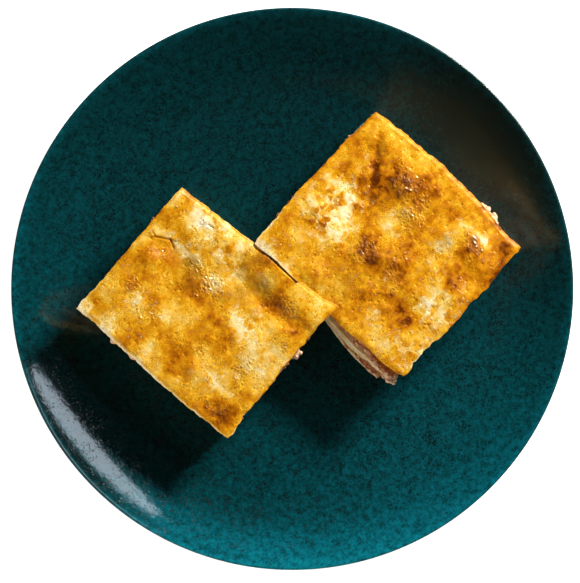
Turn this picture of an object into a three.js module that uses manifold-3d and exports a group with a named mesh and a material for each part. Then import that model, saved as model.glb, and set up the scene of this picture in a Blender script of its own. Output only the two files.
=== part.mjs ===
// A coupe dinner plate with two squares of lasagna bolognese on it.
// Millimetres, +Z up. The origin is on the plate's axis, at the level it stands on.
// +Y is the far side of the plate, +X its right side.

import * as THREE from 'three';
import { mergeVertices } from 'three/addons/utils/BufferGeometryUtils.js';
import Module from 'manifold-3d';

const wasm = await Module();
wasm.setup();

// Plate
const PLATE_DIAMETER = 270;
const PLATE_SIDES = 72;
const FOOT_OUTER_RADIUS = 76;
const FOOT_INNER_RADIUS = 70;
const FOOT_DRAFT = 1.5;
const RECESS_HEIGHT = 3;
const WELL_HEIGHT = 8;
const WELL_RADIUS = 90;
const WELL_DISH = 0.8;
const SLOPE_START = 0.03;
const SLOPE_FULL_RADIUS = 118;
const SLOPE_FULL = 0.44;
const SLOPE_LIP = 0.52;
const LIP_RADIUS = 132;
const LIP_ROUND = 1.7;
const LIP_DROP = 0.7;
const LIP_DEGREES = [-50, 0, 45, 105];
const WALL_AT_FOOT = 5;
const UNDERSIDE_RADII = [96, 108, 119];
const UPPER_RADII = [126, 119, 112.5, 106, 99, 91, 60];

// Portions: corners of the top face as cut, seen from above
const LEFT_CORNERS = {
  north: [-51.9, 47.9],
  west: [-100.5, -8.6],
  south: [-31.7, -69.4],
  east: [19.2, -9.0],
};
const RIGHT_CORNERS = {
  north: [39.4, 83.5],
  west: [-17.1, 22.0],
  south: [49.3, -42.0],
  east: [106.3, 19.2],
};
// How far each cut side bows out past the straight line between its corners
const LEFT_BOWS = { northWest: 0.4, southWest: 1.3, southEast: 0.8, northEast: 0 };
const RIGHT_BOWS = { northWest: 1.2, southWest: 0, southEast: 1.9, northEast: 3.2 };
const CLEARANCE = 0.35;
const PORTION_HEIGHT = 33.2;
const EDGE_LINE = 0.03;
const WAVE = { height: 0.5, acrossX: 13, acrossY: 15, slant: 31 };

// Layers from the plate upwards, with their thickness
const LAYERS = [
  { name: 'bottom_sheet', kind: 'pasta', thickness: 2.2 },
  { name: 'lower_meat', kind: 'meat', thickness: 5.6 },
  { name: 'lower_sheet', kind: 'pasta', thickness: 2.2 },
  { name: 'bechamel', kind: 'bechamel', thickness: 3.2 },
  { name: 'middle_meat', kind: 'meat', thickness: 5.0 },
  { name: 'upper_sheet', kind: 'pasta', thickness: 2.0 },
  { name: 'upper_meat', kind: 'meat', thickness: 6.0 },
  { name: 'top_sheet', kind: 'crust', thickness: 4.55 },
];

// How each kind of layer is meshed and how ragged its cut edge is
const KINDS = {
  crust: { cells: 19, ragged: 0.5, bulge: 0.1, droop: 0.7, lumps: 0 },
  pasta: { cells: 8, ragged: 0.8, bulge: 0.2, droop: 0, lumps: 0 },
  bechamel: { cells: 8, ragged: 0.9, bulge: 0.7, droop: 0, lumps: 0 },
  meat: { cells: 9, ragged: 1.0, bulge: 1.1, droop: 0, lumps: 7 },
};

// The right portion has slid: its lower layers stand out past the top one
const RIGHT_SLUMP = { north: [-1, -1], west: [0.7, 0.7], south: [-9, -1.4], east: [-3, -2] };
// and they belly out further beyond the left portion's corner
const RIGHT_BELLY = { side: 'southWest', from: 0.5, reach: 2.2 };
const NO_BELLY = { side: 'none', from: 0, reach: 0 };
// The left portion's lower layers are tucked in beside the right portion
const LEFT_TUCK_START = [-4.3, -4.0];
const LEFT_SLUMP = { north: [-0.5, -0.5], west: [1, 0], south: [0.5, 0.8], east: [-2.1, -2.2] };

// The left portion's top sheet lies over the right portion's edge, from here to its corner
const FLAP_FROM = 15;
const FLAP_RISE = 10;
const FLAP_REACH = 9;
const FLAP_FULL = 2;
const FLAP_THICKNESS = 2.2;
const FLAP_GAP = 0.6;
const EDGE_GAP = 1.4;
const EDGE_GAP_UNTIL = 22;

// Relief of the browned tops: [x, y, radius, height] for rounds, and one trough
const LEFT_TROUGH = { from: [-60, 23], to: [12, -19], halfWidth: 7.5, depth: 1.9 };
const LEFT_SWELLS = [
  [-53, 38, 10, 0.8],
  [-22, -27, 12, 0.9],
  [-34, -60, 9, -0.8],
  [-84, -4, 9, 0.6],
];
const RIGHT_SWELLS = [
  [53, 50, 13, 1.3],
  [27, 45, 12, -0.9],
  [84, 21, 9, 0.9],
  [38, 14, 12, 0.8],
  [58, -12, 10, -0.8],
  [97, 26, 8, -1.0],
];
const BLISTERS = 16;
const BLISTER_RADIUS = [4, 7];
const BLISTER_HEIGHT = [0.4, 1.1];
const BLISTER_SPAN = [0.08, 0.92];

// Filling that stands out past the top sheets: crumbs of mince, and a curl at the near corner
const SHOWN_LUMPS = {
  left: [
    { at: [0.8, -30.2], radii: [3.2, 2.8] },
    { at: [-82.9, -23.2], radii: [3.2, 2.8] },
    { at: [-74.2, -31.1], radii: [3.4, 2.6] },
  ],
  right: [
    { at: [90.0, 37.4], radii: [3.2, 2.8] },
    { at: [93.8, 33.2], radii: [3.0, 2.6] },
    { at: [46.2, -43.4], radii: [3.4, 2.8] },
    { at: [47.2, -46.2], radii: [2.4, 2.6] },
  ],
};
const LUMP_RADIUS = [2.2, 3.8];
const LUMP_DEPTH = 0.8;
const LUMP_INSET = 0.6;
const LUMP_STAND_OUT = 1;
const LUMP_FILL = 0.43;
const LUMP_ROUGHNESS = [0.8, 1];
const LUMP_SPAN = [0.06, 0.94];
const COVERED_SHARE = 0.55;

const smooth = (from, to, value) => THREE.MathUtils.smoothstep(value, from, to);

function seededRandom(seed) {
  let state = seed * 2654435761 >>> 0;
  return () => {
    state = (state * 1664525 + 1013904223) >>> 0;
    return state / 4294967296;
  };
}

function between([low, high], share) {
  return low + (high - low) * share;
}

// Height of the plate's upper face at a radius: a faint dish, then an even curve up to the rim
function wellHeight(radius) {
  const dish = WELL_DISH * (Math.min(radius, WELL_RADIUS) / WELL_RADIUS) ** 2;
  const bendRun = SLOPE_FULL_RADIUS - WELL_RADIUS;
  const bend = THREE.MathUtils.clamp(radius - WELL_RADIUS, 0, bendRun);
  const bendRise = SLOPE_START * bend + (SLOPE_FULL - SLOPE_START) * bend ** 2 / (2 * bendRun);
  const rimRun = LIP_RADIUS - SLOPE_FULL_RADIUS;
  const rim = Math.max(radius - SLOPE_FULL_RADIUS, 0);
  const rimRise = SLOPE_FULL * rim + (SLOPE_LIP - SLOPE_FULL) * rim ** 2 / (2 * rimRun);
  return WELL_HEIGHT + dish + bendRise + rimRise;
}

function plateGeometry() {
  const rimRadius = PLATE_DIAMETER / 2;
  const profile = [
    [0, RECESS_HEIGHT],
    [FOOT_INNER_RADIUS - FOOT_DRAFT, RECESS_HEIGHT],
    [FOOT_INNER_RADIUS, 0],
    [FOOT_OUTER_RADIUS, 0],
    [FOOT_OUTER_RADIUS + FOOT_DRAFT, RECESS_HEIGHT],
  ];
  for (const radius of UNDERSIDE_RADII) {
    profile.push([radius, wellHeight(radius) - WALL_AT_FOOT]);
  }
  const lipHeight = wellHeight(LIP_RADIUS);
  const lipCentre = [rimRadius - LIP_ROUND, lipHeight - LIP_DROP];
  for (const degrees of LIP_DEGREES) {
    const angle = THREE.MathUtils.degToRad(degrees);
    profile.push([
      lipCentre[0] + LIP_ROUND * Math.cos(angle),
      lipCentre[1] + LIP_ROUND * Math.sin(angle),
    ]);
  }
  for (const radius of UPPER_RADII) {
    profile.push([radius, wellHeight(radius)]);
  }
  profile.push([0, WELL_HEIGHT]);
  const points = profile.map(([radius, height]) => new THREE.Vector2(radius, height));
  return new THREE.LatheGeometry(points, PLATE_SIDES).rotateX(Math.PI / 2);
}

// Distance along and outwards from the right portion's near left side
function fromRightSide(x, y) {
  const [startX, startY] = RIGHT_CORNERS.west;
  const [endX, endY] = RIGHT_CORNERS.south;
  const length = Math.hypot(endX - startX, endY - startY);
  const [alongX, alongY] = [(endX - startX) / length, (endY - startY) / length];
  const along = (x - startX) * alongX + (y - startY) * alongY;
  const outward = (x - startX) * alongY - (y - startY) * alongX;
  return { along, outward, outwardX: alongY, outwardY: -alongX };
}

function swellHeight(swells, x, y) {
  let height = 0;
  for (const [centreX, centreY, radius, rise] of swells) {
    const distance = Math.hypot(x - centreX, y - centreY) / radius;
    height += rise * Math.exp(-distance * distance);
  }
  return height;
}

function troughHeight({ from, to, halfWidth, depth }, x, y) {
  const line = new THREE.Line3(new THREE.Vector3(...from, 0), new THREE.Vector3(...to, 0));
  const here = new THREE.Vector3(x, y, 0);
  const distance = line.closestPointToPoint(here, true, new THREE.Vector3()).distanceTo(here);
  return -depth * Math.exp(-((distance / halfWidth) ** 2));
}

function bilinear(corners, u, v) {
  const { north, west, south, east } = corners;
  return [0, 1].map((axis) => (
    (1 - v) * ((1 - u) * north[axis] + u * east[axis])
    + v * ((1 - u) * west[axis] + u * south[axis])
  ));
}

// The four cut sides at a place: how close it is to each, and how far along
function sidesAt(u, v) {
  return [
    { side: 'northWest', closeness: 1 - u, along: v, middle: [0, 0.5] },
    { side: 'southWest', closeness: v, along: u, middle: [0.5, 1] },
    { side: 'southEast', closeness: u, along: v, middle: [1, 0.5] },
    { side: 'northEast', closeness: 1 - v, along: u, middle: [0.5, 0] },
  ];
}

// A place in a layer: the blend of its corners, moved outwards where a side bows or bellies
function placeAt(portion, corners, depth, u, v) {
  let [x, y] = bilinear(corners, u, v);
  for (const { side, closeness, along, middle } of sidesAt(u, v)) {
    let push = portion.bows[side] * 4 * along * (1 - along);
    if (side === portion.belly.side) {
      const share = Math.max(along - portion.belly.from, 0) / (1 - portion.belly.from);
      push += depth * portion.belly.reach * Math.sin(Math.PI * share);
    }
    const [outX, outY] = outwardAt(corners, ...middle);
    x += push * closeness * outX;
    y += push * closeness * outY;
  }
  return [x, y];
}

function blisterSwells(corners, seed) {
  const random = seededRandom(seed);
  const swells = [];
  for (let index = 0; index < BLISTERS; index += 1) {
    const [u, v] = [between(BLISTER_SPAN, random()), between(BLISTER_SPAN, random())];
    const [x, y] = bilinear(corners, u, v);
    swells.push([x, y, between(BLISTER_RADIUS, random()), between(BLISTER_HEIGHT, random())]);
  }
  return swells;
}

// Broad waves that run through all layers of a portion
function broadWave(phase, x, y) {
  const { height, acrossX, acrossY, slant } = WAVE;
  return height * (Math.sin(x / acrossX + phase) + Math.sin(y / acrossY - x / slant + 2 * phase));
}

const PORTIONS = [
  {
    name: 'left',
    corners: LEFT_CORNERS,
    bows: LEFT_BOWS,
    belly: NO_BELLY,
    slump: LEFT_SLUMP,
    tuck: { east: LEFT_TUCK_START },
    phase: 0.7,
    seed: 11,
    relief: (x, y) => troughHeight(LEFT_TROUGH, x, y) + swellHeight(LEFT_SWELLS, x, y),
  },
  {
    name: 'right',
    corners: RIGHT_CORNERS,
    bows: RIGHT_BOWS,
    belly: RIGHT_BELLY,
    slump: RIGHT_SLUMP,
    tuck: {},
    phase: 2.1,
    seed: 29,
    relief: (x, y) => swellHeight(RIGHT_SWELLS, x, y),
  },
];
for (const portion of PORTIONS) {
  portion.blisters = blisterSwells(portion.corners, portion.seed);
}

function topFace(portion, x, y) {
  return WELL_HEIGHT + CLEARANCE + PORTION_HEIGHT + broadWave(portion.phase, x, y);
}

function crustFace(portion, x, y) {
  return topFace(portion, x, y) + portion.relief(x, y) + swellHeight(portion.blisters, x, y);
}

// Height of the level that lies at a share of the portion's height
function levelFace(portion, share, x, y) {
  const rest = wellHeight(Math.hypot(x, y)) + CLEARANCE;
  return rest + share * (topFace(portion, x, y) - rest);
}

function flapShare(x, y) {
  const { along, outward } = fromRightSide(x, y);
  const reach = 1 - smooth(FLAP_FULL, FLAP_REACH, outward);
  return reach * smooth(FLAP_FROM - FLAP_RISE, FLAP_FROM, along);
}

// Both faces of a layer, given the shares of height where it starts and ends
function layerFaces(portion, layer) {
  const low = (x, y) => levelFace(portion, layer.from, x, y);
  if (layer.kind !== 'crust') {
    return { low, high: (x, y) => levelFace(portion, layer.to, x, y) };
  }
  const high = (x, y) => crustFace(portion, x, y);
  if (portion.name !== 'left') return { low, high };
  const neighbour = PORTIONS.find(({ name }) => name === 'right');
  const lifted = (x, y) => topFace(neighbour, x, y) + neighbour.relief(x, y) + FLAP_GAP;
  return {
    low: (x, y) => THREE.MathUtils.lerp(low(x, y), lifted(x, y), flapShare(x, y)),
    high: (x, y) => THREE.MathUtils.lerp(
      high(x, y), lifted(x, y) + FLAP_THICKNESS, flapShare(x, y),
    ),
  };
}

// Grid lines across a portion, with one line close to each cut side
function gridLines(cells) {
  const lines = [0];
  for (let index = 0; index < cells - 1; index += 1) {
    lines.push(EDGE_LINE + (1 - 2 * EDGE_LINE) * index / (cells - 2));
  }
  lines.push(1);
  return lines;
}

function layerCorners(portion, layer) {
  const depth = 1 - layer.to;
  const corners = {};
  for (const [name, [x, y]] of Object.entries(portion.corners)) {
    const [slumpX, slumpY] = portion.slump[name];
    const [tuckX, tuckY] = layer.kind !== 'crust' && portion.tuck[name] ? portion.tuck[name] : [0, 0];
    corners[name] = [x + depth * slumpX + tuckX, y + depth * slumpY + tuckY];
  }
  return corners;
}

// Keeps the left portion's top sheet beside the right one until the flap starts
function keepBeside(portion, [x, y]) {
  const { along, outward, outwardX, outwardY } = fromRightSide(x, y);
  if (portion.name !== 'left' || along > EDGE_GAP_UNTIL || outward > EDGE_GAP) return [x, y];
  const move = EDGE_GAP - outward;
  return [x + move * outwardX, y + move * outwardY];
}

function borderCells(cells) {
  const border = [];
  for (let step = 0; step < cells; step += 1) border.push([0, step]);
  for (let step = 0; step < cells; step += 1) border.push([step, cells]);
  for (let step = cells; step > 0; step -= 1) border.push([cells, step]);
  for (let step = cells; step > 0; step -= 1) border.push([step, 0]);
  return border;
}

// Direction out of the portion at a place on its border: from its middle to the middle of that side
function outwardAt(corners, u, v) {
  const middle = 0.5;
  const onBorder = (value) => value === 0 || value === 1;
  const centre = bilinear(corners, middle, middle);
  const sideMiddle = bilinear(corners, onBorder(u) ? u : middle, onBorder(v) ? v : middle);
  const outward = [sideMiddle[0] - centre[0], sideMiddle[1] - centre[1]];
  const length = Math.hypot(...outward);
  return outward.map((value) => value / length);
}

// A slab with a ragged cut edge: an upper face, a belt round its middle and a lower face
function layerGeometry(portion, layer, order) {
  const kind = KINDS[layer.kind];
  const corners = layerCorners(portion, layer);
  const { low, high } = layerFaces(portion, layer);
  const lines = gridLines(kind.cells);
  const random = seededRandom(portion.seed * 100 + order);
  const upper = [];
  const lower = [];
  const belt = [];
  const plan = lines.map((u) => lines.map((v) => placeAt(portion, corners, 1 - layer.to, u, v)));
  const border = borderCells(kind.cells);
  for (const [column, row] of border) {
    const [outX, outY] = outwardAt(corners, lines[column], lines[row]);
    const shift = kind.ragged * (2 * random() - 1);
    const [x, y] = plan[column][row];
    const spot = keepBeside(portion, [x + shift * outX, y + shift * outY]);
    plan[column][row] = spot;
    const swell = kind.bulge * random();
    const middle = 0.5 * (high(...spot) + low(...spot));
    const beltSpot = keepBeside(portion, [spot[0] + swell * outX, spot[1] + swell * outY]);
    belt.push([...beltSpot, middle]);
  }
  const onEdge = (index) => index === 0 || index === kind.cells;
  for (let column = 0; column <= kind.cells; column += 1) {
    for (let row = 0; row <= kind.cells; row += 1) {
      const [x, y] = plan[column][row];
      const droop = onEdge(column) || onEdge(row) ? kind.droop : 0;
      upper.push([x, y, high(x, y) - droop]);
      lower.push([x, y, low(x, y)]);
    }
  }
  const vertices = [...upper, ...lower, ...belt];
  const lowerStart = upper.length;
  const beltStart = lowerStart + lower.length;
  const faces = [];
  const at = (column, row) => column * lines.length + row;
  for (let column = 0; column < kind.cells; column += 1) {
    for (let row = 0; row < kind.cells; row += 1) {
      const [a, b] = [at(column, row), at(column, row + 1)];
      const [c, d] = [at(column + 1, row + 1), at(column + 1, row)];
      const halves = (column + row) % 2 ? [[a, b, c], [a, c, d]] : [[a, b, d], [b, c, d]];
      for (const [p, q, r] of halves) {
        faces.push(p, q, r);
        faces.push(lowerStart + r, lowerStart + q, lowerStart + p);
      }
    }
  }
  border.forEach(([column, row], index) => {
    const next = (index + 1) % border.length;
    const [a, b] = [at(column, row), at(...border[next])];
    const [beltA, beltB] = [beltStart + index, beltStart + next];
    faces.push(beltA, beltB, b, beltA, b, a);
    faces.push(lowerStart + a, lowerStart + b, beltB, lowerStart + a, beltB, beltA);
  });
  const geometry = new THREE.BufferGeometry();
  geometry.setAttribute('position', new THREE.Float32BufferAttribute(vertices.flat(), 3));
  geometry.setIndex(faces);
  return geometry;
}

function toSolid(geometry) {
  const merged = mergeVertices(geometry, 1e-5);
  return new wasm.Manifold(new wasm.Mesh({
    numProp: 3,
    vertProperties: new Float32Array(merged.attributes.position.array),
    triVerts: new Uint32Array(merged.index.array),
  }));
}

function toGeometry(solid) {
  const mesh = solid.getMesh();
  const geometry = new THREE.BufferGeometry();
  geometry.setAttribute('position', new THREE.BufferAttribute(mesh.vertProperties, 3));
  geometry.setIndex(new THREE.BufferAttribute(mesh.triVerts, 1));
  return geometry;
}

// One crumb of mince: a roughened ball with few faces
function lumpGeometry(x, y, z, radii, random) {
  const ball = new THREE.IcosahedronGeometry(1, 0);
  ball.deleteAttribute('normal');
  ball.deleteAttribute('uv');
  const lump = mergeVertices(ball, 1e-4);
  const { position } = lump.attributes;
  for (let index = 0; index < position.count; index += 1) {
    const size = between(LUMP_ROUGHNESS, random());
    position.setXYZ(
      index,
      position.getX(index) * size,
      position.getY(index) * size,
      position.getZ(index) * size,
    );
  }
  return lump.rotateZ(random() * Math.PI).scale(...radii).translate(x, y, z);
}

// Places of the mince that shows at the cut sides, spread evenly round the portion
function lumpPlaces(portion, layer, order) {
  const random = seededRandom(portion.seed * 300 + order);
  const corners = layerCorners(portion, layer);
  const count = KINDS[layer.kind].lumps;
  const places = [];
  for (let index = 0; index < count; index += 1) {
    const round = 4 * (index + random()) / count;
    const edge = Math.floor(round);
    const share = between(LUMP_SPAN, round - edge);
    const [u, v] = [[0, share], [share, 1], [1, 1 - share], [1 - share, 0]][edge];
    const [x, y] = placeAt(portion, corners, 1 - layer.to, u, v);
    const [outX, outY] = outwardAt(corners, u, v);
    const radius = between(LUMP_RADIUS, random());
    const out = LUMP_STAND_OUT - radius * LUMP_INSET;
    const at = [x + outX * out, y + outY * out];
    const facesNeighbour = portion.name === 'left' && edge === 3;
    const underNeighbour = portion.name === 'right' && edge === 1 && share < COVERED_SHARE;
    if (!facesNeighbour && !underNeighbour) {
      places.push({ at, radii: [radius, radius * LUMP_DEPTH] });
    }
  }
  if (layer.name === 'upper_meat') places.push(...SHOWN_LUMPS[portion.name]);
  return places;
}

function meatGeometry(portion, layer, order) {
  const random = seededRandom(portion.seed * 500 + order);
  let solid = toSolid(layerGeometry(portion, layer, order));
  for (const { at: [x, y], radii } of lumpPlaces(portion, layer, order)) {
    const low = levelFace(portion, layer.from, x, y);
    const high = levelFace(portion, layer.to, x, y);
    const [wide, deep] = radii;
    const lump = lumpGeometry(
      x, y, (low + high) / 2, [wide, deep, LUMP_FILL * (high - low)], random,
    );
    solid = solid.add(toSolid(lump));
  }
  return toGeometry(solid);
}

const GLAZE = { color: '#0b4a50', roughness: 0.14, metalness: 0 };
const FINISHES = {
  crust: { color: '#dc9a34', roughness: 0.4, metalness: 0 },
  pasta: { color: '#e6d19a', roughness: 0.5, metalness: 0 },
  bechamel: { color: '#ddc87f', roughness: 0.45, metalness: 0 },
  meat: { color: '#7a3a1c', roughness: 0.55, metalness: 0 },
};

function namedMesh(name, geometry, finish) {
  const mesh = new THREE.Mesh(geometry, new THREE.MeshStandardMaterial(finish));
  mesh.name = name;
  return mesh;
}

// A portion is its layers stacked with a clearance between neighbours
function makePortion(portion) {
  const group = new THREE.Group();
  let reached = 0;
  LAYERS.forEach((layer, order) => {
    const placed = {
      ...layer,
      from: reached / PORTION_HEIGHT,
      to: (reached + layer.thickness) / PORTION_HEIGHT,
    };
    reached += layer.thickness + CLEARANCE;
    const geometry = layer.kind === 'meat'
      ? meatGeometry(portion, placed, order)
      : layerGeometry(portion, placed, order);
    group.add(namedMesh(`${portion.name}_${layer.name}`, geometry, FINISHES[layer.kind]));
  });
  return group;
}

const lasagna = new THREE.Group();
lasagna.add(namedMesh('plate', plateGeometry(), GLAZE));
for (const portion of PORTIONS) lasagna.add(makePortion(portion));

export default lasagna;
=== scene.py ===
# %% [markdown]
# # Two squares of lasagna bolognese on a teal coupe plate
#
# The plate is turned stoneware with a speckled teal glaze. On it lie two squares cut from a
# baked dish: sheets of pasta, meat sauce and bechamel in turn, under a browned top. The
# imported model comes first, because it gives every piece its place: it stays as it is, and
# each finer piece made here takes the place of one of its solids.

import math

import bmesh
import bpy
import numpy as np
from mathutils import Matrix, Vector


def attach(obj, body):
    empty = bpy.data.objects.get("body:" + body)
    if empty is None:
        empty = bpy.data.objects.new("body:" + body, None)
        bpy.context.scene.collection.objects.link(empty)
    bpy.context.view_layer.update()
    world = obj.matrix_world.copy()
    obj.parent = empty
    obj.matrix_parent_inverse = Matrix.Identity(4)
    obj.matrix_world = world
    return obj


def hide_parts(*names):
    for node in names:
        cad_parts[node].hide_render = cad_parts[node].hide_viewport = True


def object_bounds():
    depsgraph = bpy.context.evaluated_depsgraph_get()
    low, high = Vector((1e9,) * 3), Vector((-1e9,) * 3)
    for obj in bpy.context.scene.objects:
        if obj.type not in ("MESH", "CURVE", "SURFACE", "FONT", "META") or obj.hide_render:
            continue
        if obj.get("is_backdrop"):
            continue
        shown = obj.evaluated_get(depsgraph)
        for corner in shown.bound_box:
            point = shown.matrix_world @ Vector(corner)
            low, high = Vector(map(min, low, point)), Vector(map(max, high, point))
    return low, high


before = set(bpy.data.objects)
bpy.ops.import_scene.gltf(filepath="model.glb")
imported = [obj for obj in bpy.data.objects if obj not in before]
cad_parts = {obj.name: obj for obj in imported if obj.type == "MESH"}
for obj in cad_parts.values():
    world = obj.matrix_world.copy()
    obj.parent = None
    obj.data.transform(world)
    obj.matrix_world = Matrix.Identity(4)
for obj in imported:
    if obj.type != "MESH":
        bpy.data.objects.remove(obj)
CAD_BOX = [list(corner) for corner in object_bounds()]
print("nodes in the frame:", sorted(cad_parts))
print("box of the frame in mm:", [[round(value * 1000, 1) for value in c] for c in CAD_BOX])

# %% [markdown]
# ## Small helpers
#
# All shapes are worked out in millimetres and turned to metres when a mesh is made. Colours
# are written as the hex values seen on a screen, and one function turns them to the linear
# values that a shader mixes. One function adds a shader node with its settings and links.

# %% Meshes, colours and nodes
MM = 0.001


def hex_colour(text):
    """A screen colour such as '#d08020' as linear red, green, blue and alpha."""
    parts = [int(text[index:index + 2], 16) / 255 for index in (1, 3, 5)]
    linear = [c / 12.92 if c <= 0.04045 else ((c + 0.055) / 1.055) ** 2.4 for c in parts]
    return (*linear, 1.0)


def make_mesh(name, points_mm, faces):
    """A mesh object from points in millimetres, at the origin, with its place in its mesh."""
    mesh = bpy.data.meshes.new(name)
    mesh.from_pydata((np.asarray(points_mm, float) * MM).tolist(), [], faces)
    mesh.update()
    mesh.shade_smooth()
    piece = bpy.data.objects.new(name, mesh)
    bpy.context.scene.collection.objects.link(piece)
    return piece


def add_attribute(piece, name, values):
    """One number per point, which a material reads by its name."""
    attribute = piece.data.attributes.new(name, "FLOAT", "POINT")
    attribute.data.foreach_set("value", np.asarray(values, np.float32).ravel())


def add_node(tree, kind, settings=None, inputs=None):
    """Adds one node. A setting is a property, and an input is a value or another node's output."""
    node = tree.nodes.new(kind)
    for key, value in (settings or {}).items():
        if key == "stops":
            ends = node.color_ramp.elements
            ends[1].position, ends[1].color = value[-1][0], hex_colour(value[-1][1])
            ends[0].position, ends[0].color = value[0][0], hex_colour(value[0][1])
            for place, colour in value[1:-1]:
                ends.new(place).color = hex_colour(colour)
        else:
            setattr(node, key, value)
    for key, value in (inputs or {}).items():
        if isinstance(value, bpy.types.NodeSocket):
            tree.links.new(value, node.inputs[key])
        else:
            node.inputs[key].default_value = value
    return node


def scale_for(size):
    """The scale that makes the features of a pattern this many millimetres across."""
    return 1 / (size * MM)


def new_material(name):
    """An empty material and its node tree."""
    material = bpy.data.materials.new(name)
    material.use_nodes = True
    material.node_tree.nodes.clear()
    return material, material.node_tree


def finish_material(tree, shader):
    """Joins the last shader to the surface."""
    add_node(tree, "ShaderNodeOutputMaterial", None, {"Surface": shader.outputs[0]})


print("mid grey on a screen is", round(hex_colour("#808080")[0], 3), "to a shader")

# %% [markdown]
# ## Irregular fields
#
# Food is never even. Two fields give its unevenness: a cloud, which is smooth noise read from
# a lattice of seeded numbers, and pebbles, which is the distance to the nearest of many
# scattered points and makes bubbles and crumbs. Both give the same values at every run.

# %% Clouds and pebbles
LATTICE = 64
OCTAVE_TURN = 0.65
SEED_STRIDE = 31


def smooth(low, high, value):
    """An even step from 0 at low to 1 at high."""
    share = np.clip((value - low) / (high - low), 0, 1)
    return share * share * (3 - 2 * share)


def cloud(x, y, size, seed, octaves=1):
    """Smooth noise from 0 to 1 whose patches are about size across; each octave halves them."""
    total, weight, full = 0.0, 1.0, 0.0
    for octave in range(octaves):
        lattice = np.random.default_rng(seed * SEED_STRIDE + octave).random((LATTICE, LATTICE))
        turn = OCTAVE_TURN * (octave + 1)
        scale = 2 ** octave / size
        u = (x * math.cos(turn) + y * math.sin(turn)) * scale
        v = (y * math.cos(turn) - x * math.sin(turn)) * scale
        column, row = np.floor(u).astype(int), np.floor(v).astype(int)
        s, t = smooth(0, 1, u - column), smooth(0, 1, v - row)
        here = lattice[column % LATTICE, row % LATTICE] * (1 - s)
        here = here + lattice[(column + 1) % LATTICE, row % LATTICE] * s
        there = lattice[column % LATTICE, (row + 1) % LATTICE] * (1 - s)
        there = there + lattice[(column + 1) % LATTICE, (row + 1) % LATTICE] * s
        total = total + weight * (here * (1 - t) + there * t)
        full += weight
        weight /= 2
    return total / full


def pebbles(x, y, size, seed):
    """Distance to the nearest of points scattered one to a cell, in cells, and that point's number."""
    random = np.random.default_rng(seed).random((LATTICE, LATTICE, 3))
    u, v = x / size, y / size
    column, row = np.floor(u).astype(int), np.floor(v).astype(int)
    nearest = np.full(np.shape(u), np.inf)
    number = np.zeros(np.shape(u))
    for across in (-1, 0, 1):
        for along in (-1, 0, 1):
            point = random[(column + across) % LATTICE, (row + along) % LATTICE]
            away = np.hypot(column + across + point[..., 0] - u, row + along + point[..., 1] - v)
            closer = away < nearest
            nearest = np.where(closer, away, nearest)
            number = np.where(closer, point[..., 2], number)
    return nearest, number


sample = cloud(np.arange(200.0), np.zeros(200), 4, 1)
print("a cloud runs from", round(float(sample.min()), 2), "to", round(float(sample.max()), 2))

# %% [markdown]
# ## The shape of the food
#
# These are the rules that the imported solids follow, written once more for arrays of points:
# the plate's even curve, the four corners of each square with sides that bow, the layers that
# have slid on the right square, and the tongue of the left square's top sheet that lies over
# its neighbour. The finer pieces start from them, so each lies where its solid does.

# %% Sizes of the plate
PLATE_RADIUS = 135
FOOT_OUTER_RADIUS = 76
FOOT_INNER_RADIUS = 70
FOOT_DRAFT = 1.5
RECESS_HEIGHT = 3
WELL_HEIGHT = 8
WELL_RADIUS = 90
WELL_DISH = 0.8
SLOPE_START = 0.03
SLOPE_FULL_RADIUS = 118
SLOPE_FULL = 0.44
SLOPE_LIP = 0.52
LIP_RADIUS = 132
LIP_ROUND = 1.7
LIP_DROP = 0.7
WALL_AT_FOOT = 5
print("the plate is", 2 * PLATE_RADIUS, "mm across")

# %% Sizes of the food
CLEARANCE = 0.35
PORTION_HEIGHT = 33.2
WAVE = {"height": 0.5, "across_x": 13, "across_y": 15, "slant": 31}
LAYERS = [
    ("bottom_sheet", "pasta", 2.2),
    ("lower_meat", "meat", 5.6),
    ("lower_sheet", "pasta", 2.2),
    ("bechamel", "bechamel", 3.2),
    ("middle_meat", "meat", 5.0),
    ("upper_sheet", "pasta", 2.0),
    ("upper_meat", "meat", 6.0),
    ("top_sheet", "crust", 4.55),
]
thick = sum(thickness for _, _, thickness in LAYERS) + CLEARANCE * (len(LAYERS) - 1)
print(len(LAYERS), "layers,", round(thick, 2), "mm in all with the gaps between them")

# %% The left square
LEFT = {
    "name": "left",
    "corners": {"north": (-51.9, 47.9), "west": (-100.5, -8.6),
                "south": (-31.7, -69.4), "east": (19.2, -9.0)},
    "bows": {"northWest": 0.4, "southWest": 1.3, "southEast": 0.8, "northEast": 0},
    "belly": None,
    "slump": {"north": (-0.5, -0.5), "west": (1, 0), "south": (0.5, 0.8), "east": (-2.1, -2.2)},
    "tuck": {"east": (-4.3, -4.0)},
    "phase": 0.7,
    "seed": 11,
    "trough": {"start": (-60, 23), "end": (12, -19), "half_width": 7.5, "depth": 1.9},
    "swells": [(-53, 38, 10, 0.8), (-22, -27, 12, 0.9), (-34, -60, 9, -0.8), (-84, -4, 9, 0.6)],
    # hollows and banks that shade the top, finer than the solid's
    "dents": [(-57, -1, 8, -0.9), (-43, 9, 7, 0.6), (-19, 0, 8, -0.9), (-5, 8, 6, 0.5),
              (-9, -17, 7, -0.7), (-62, 26, 6, 0.4), (-31, 15, 9, 0.5),
              (4, -13, 6, 0.9), (11, -17, 5, 0.7), (-62, 12, 7, -0.9), (-41, 32, 2.4, 0.8)],
    "nudges": [((-100, -9), 6, (-1.3, -0.5)), ((-31, -69), 7, (1.3, -1.3)),
               ((19, -9), 6, (3.0, 0.6))],
}

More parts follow.
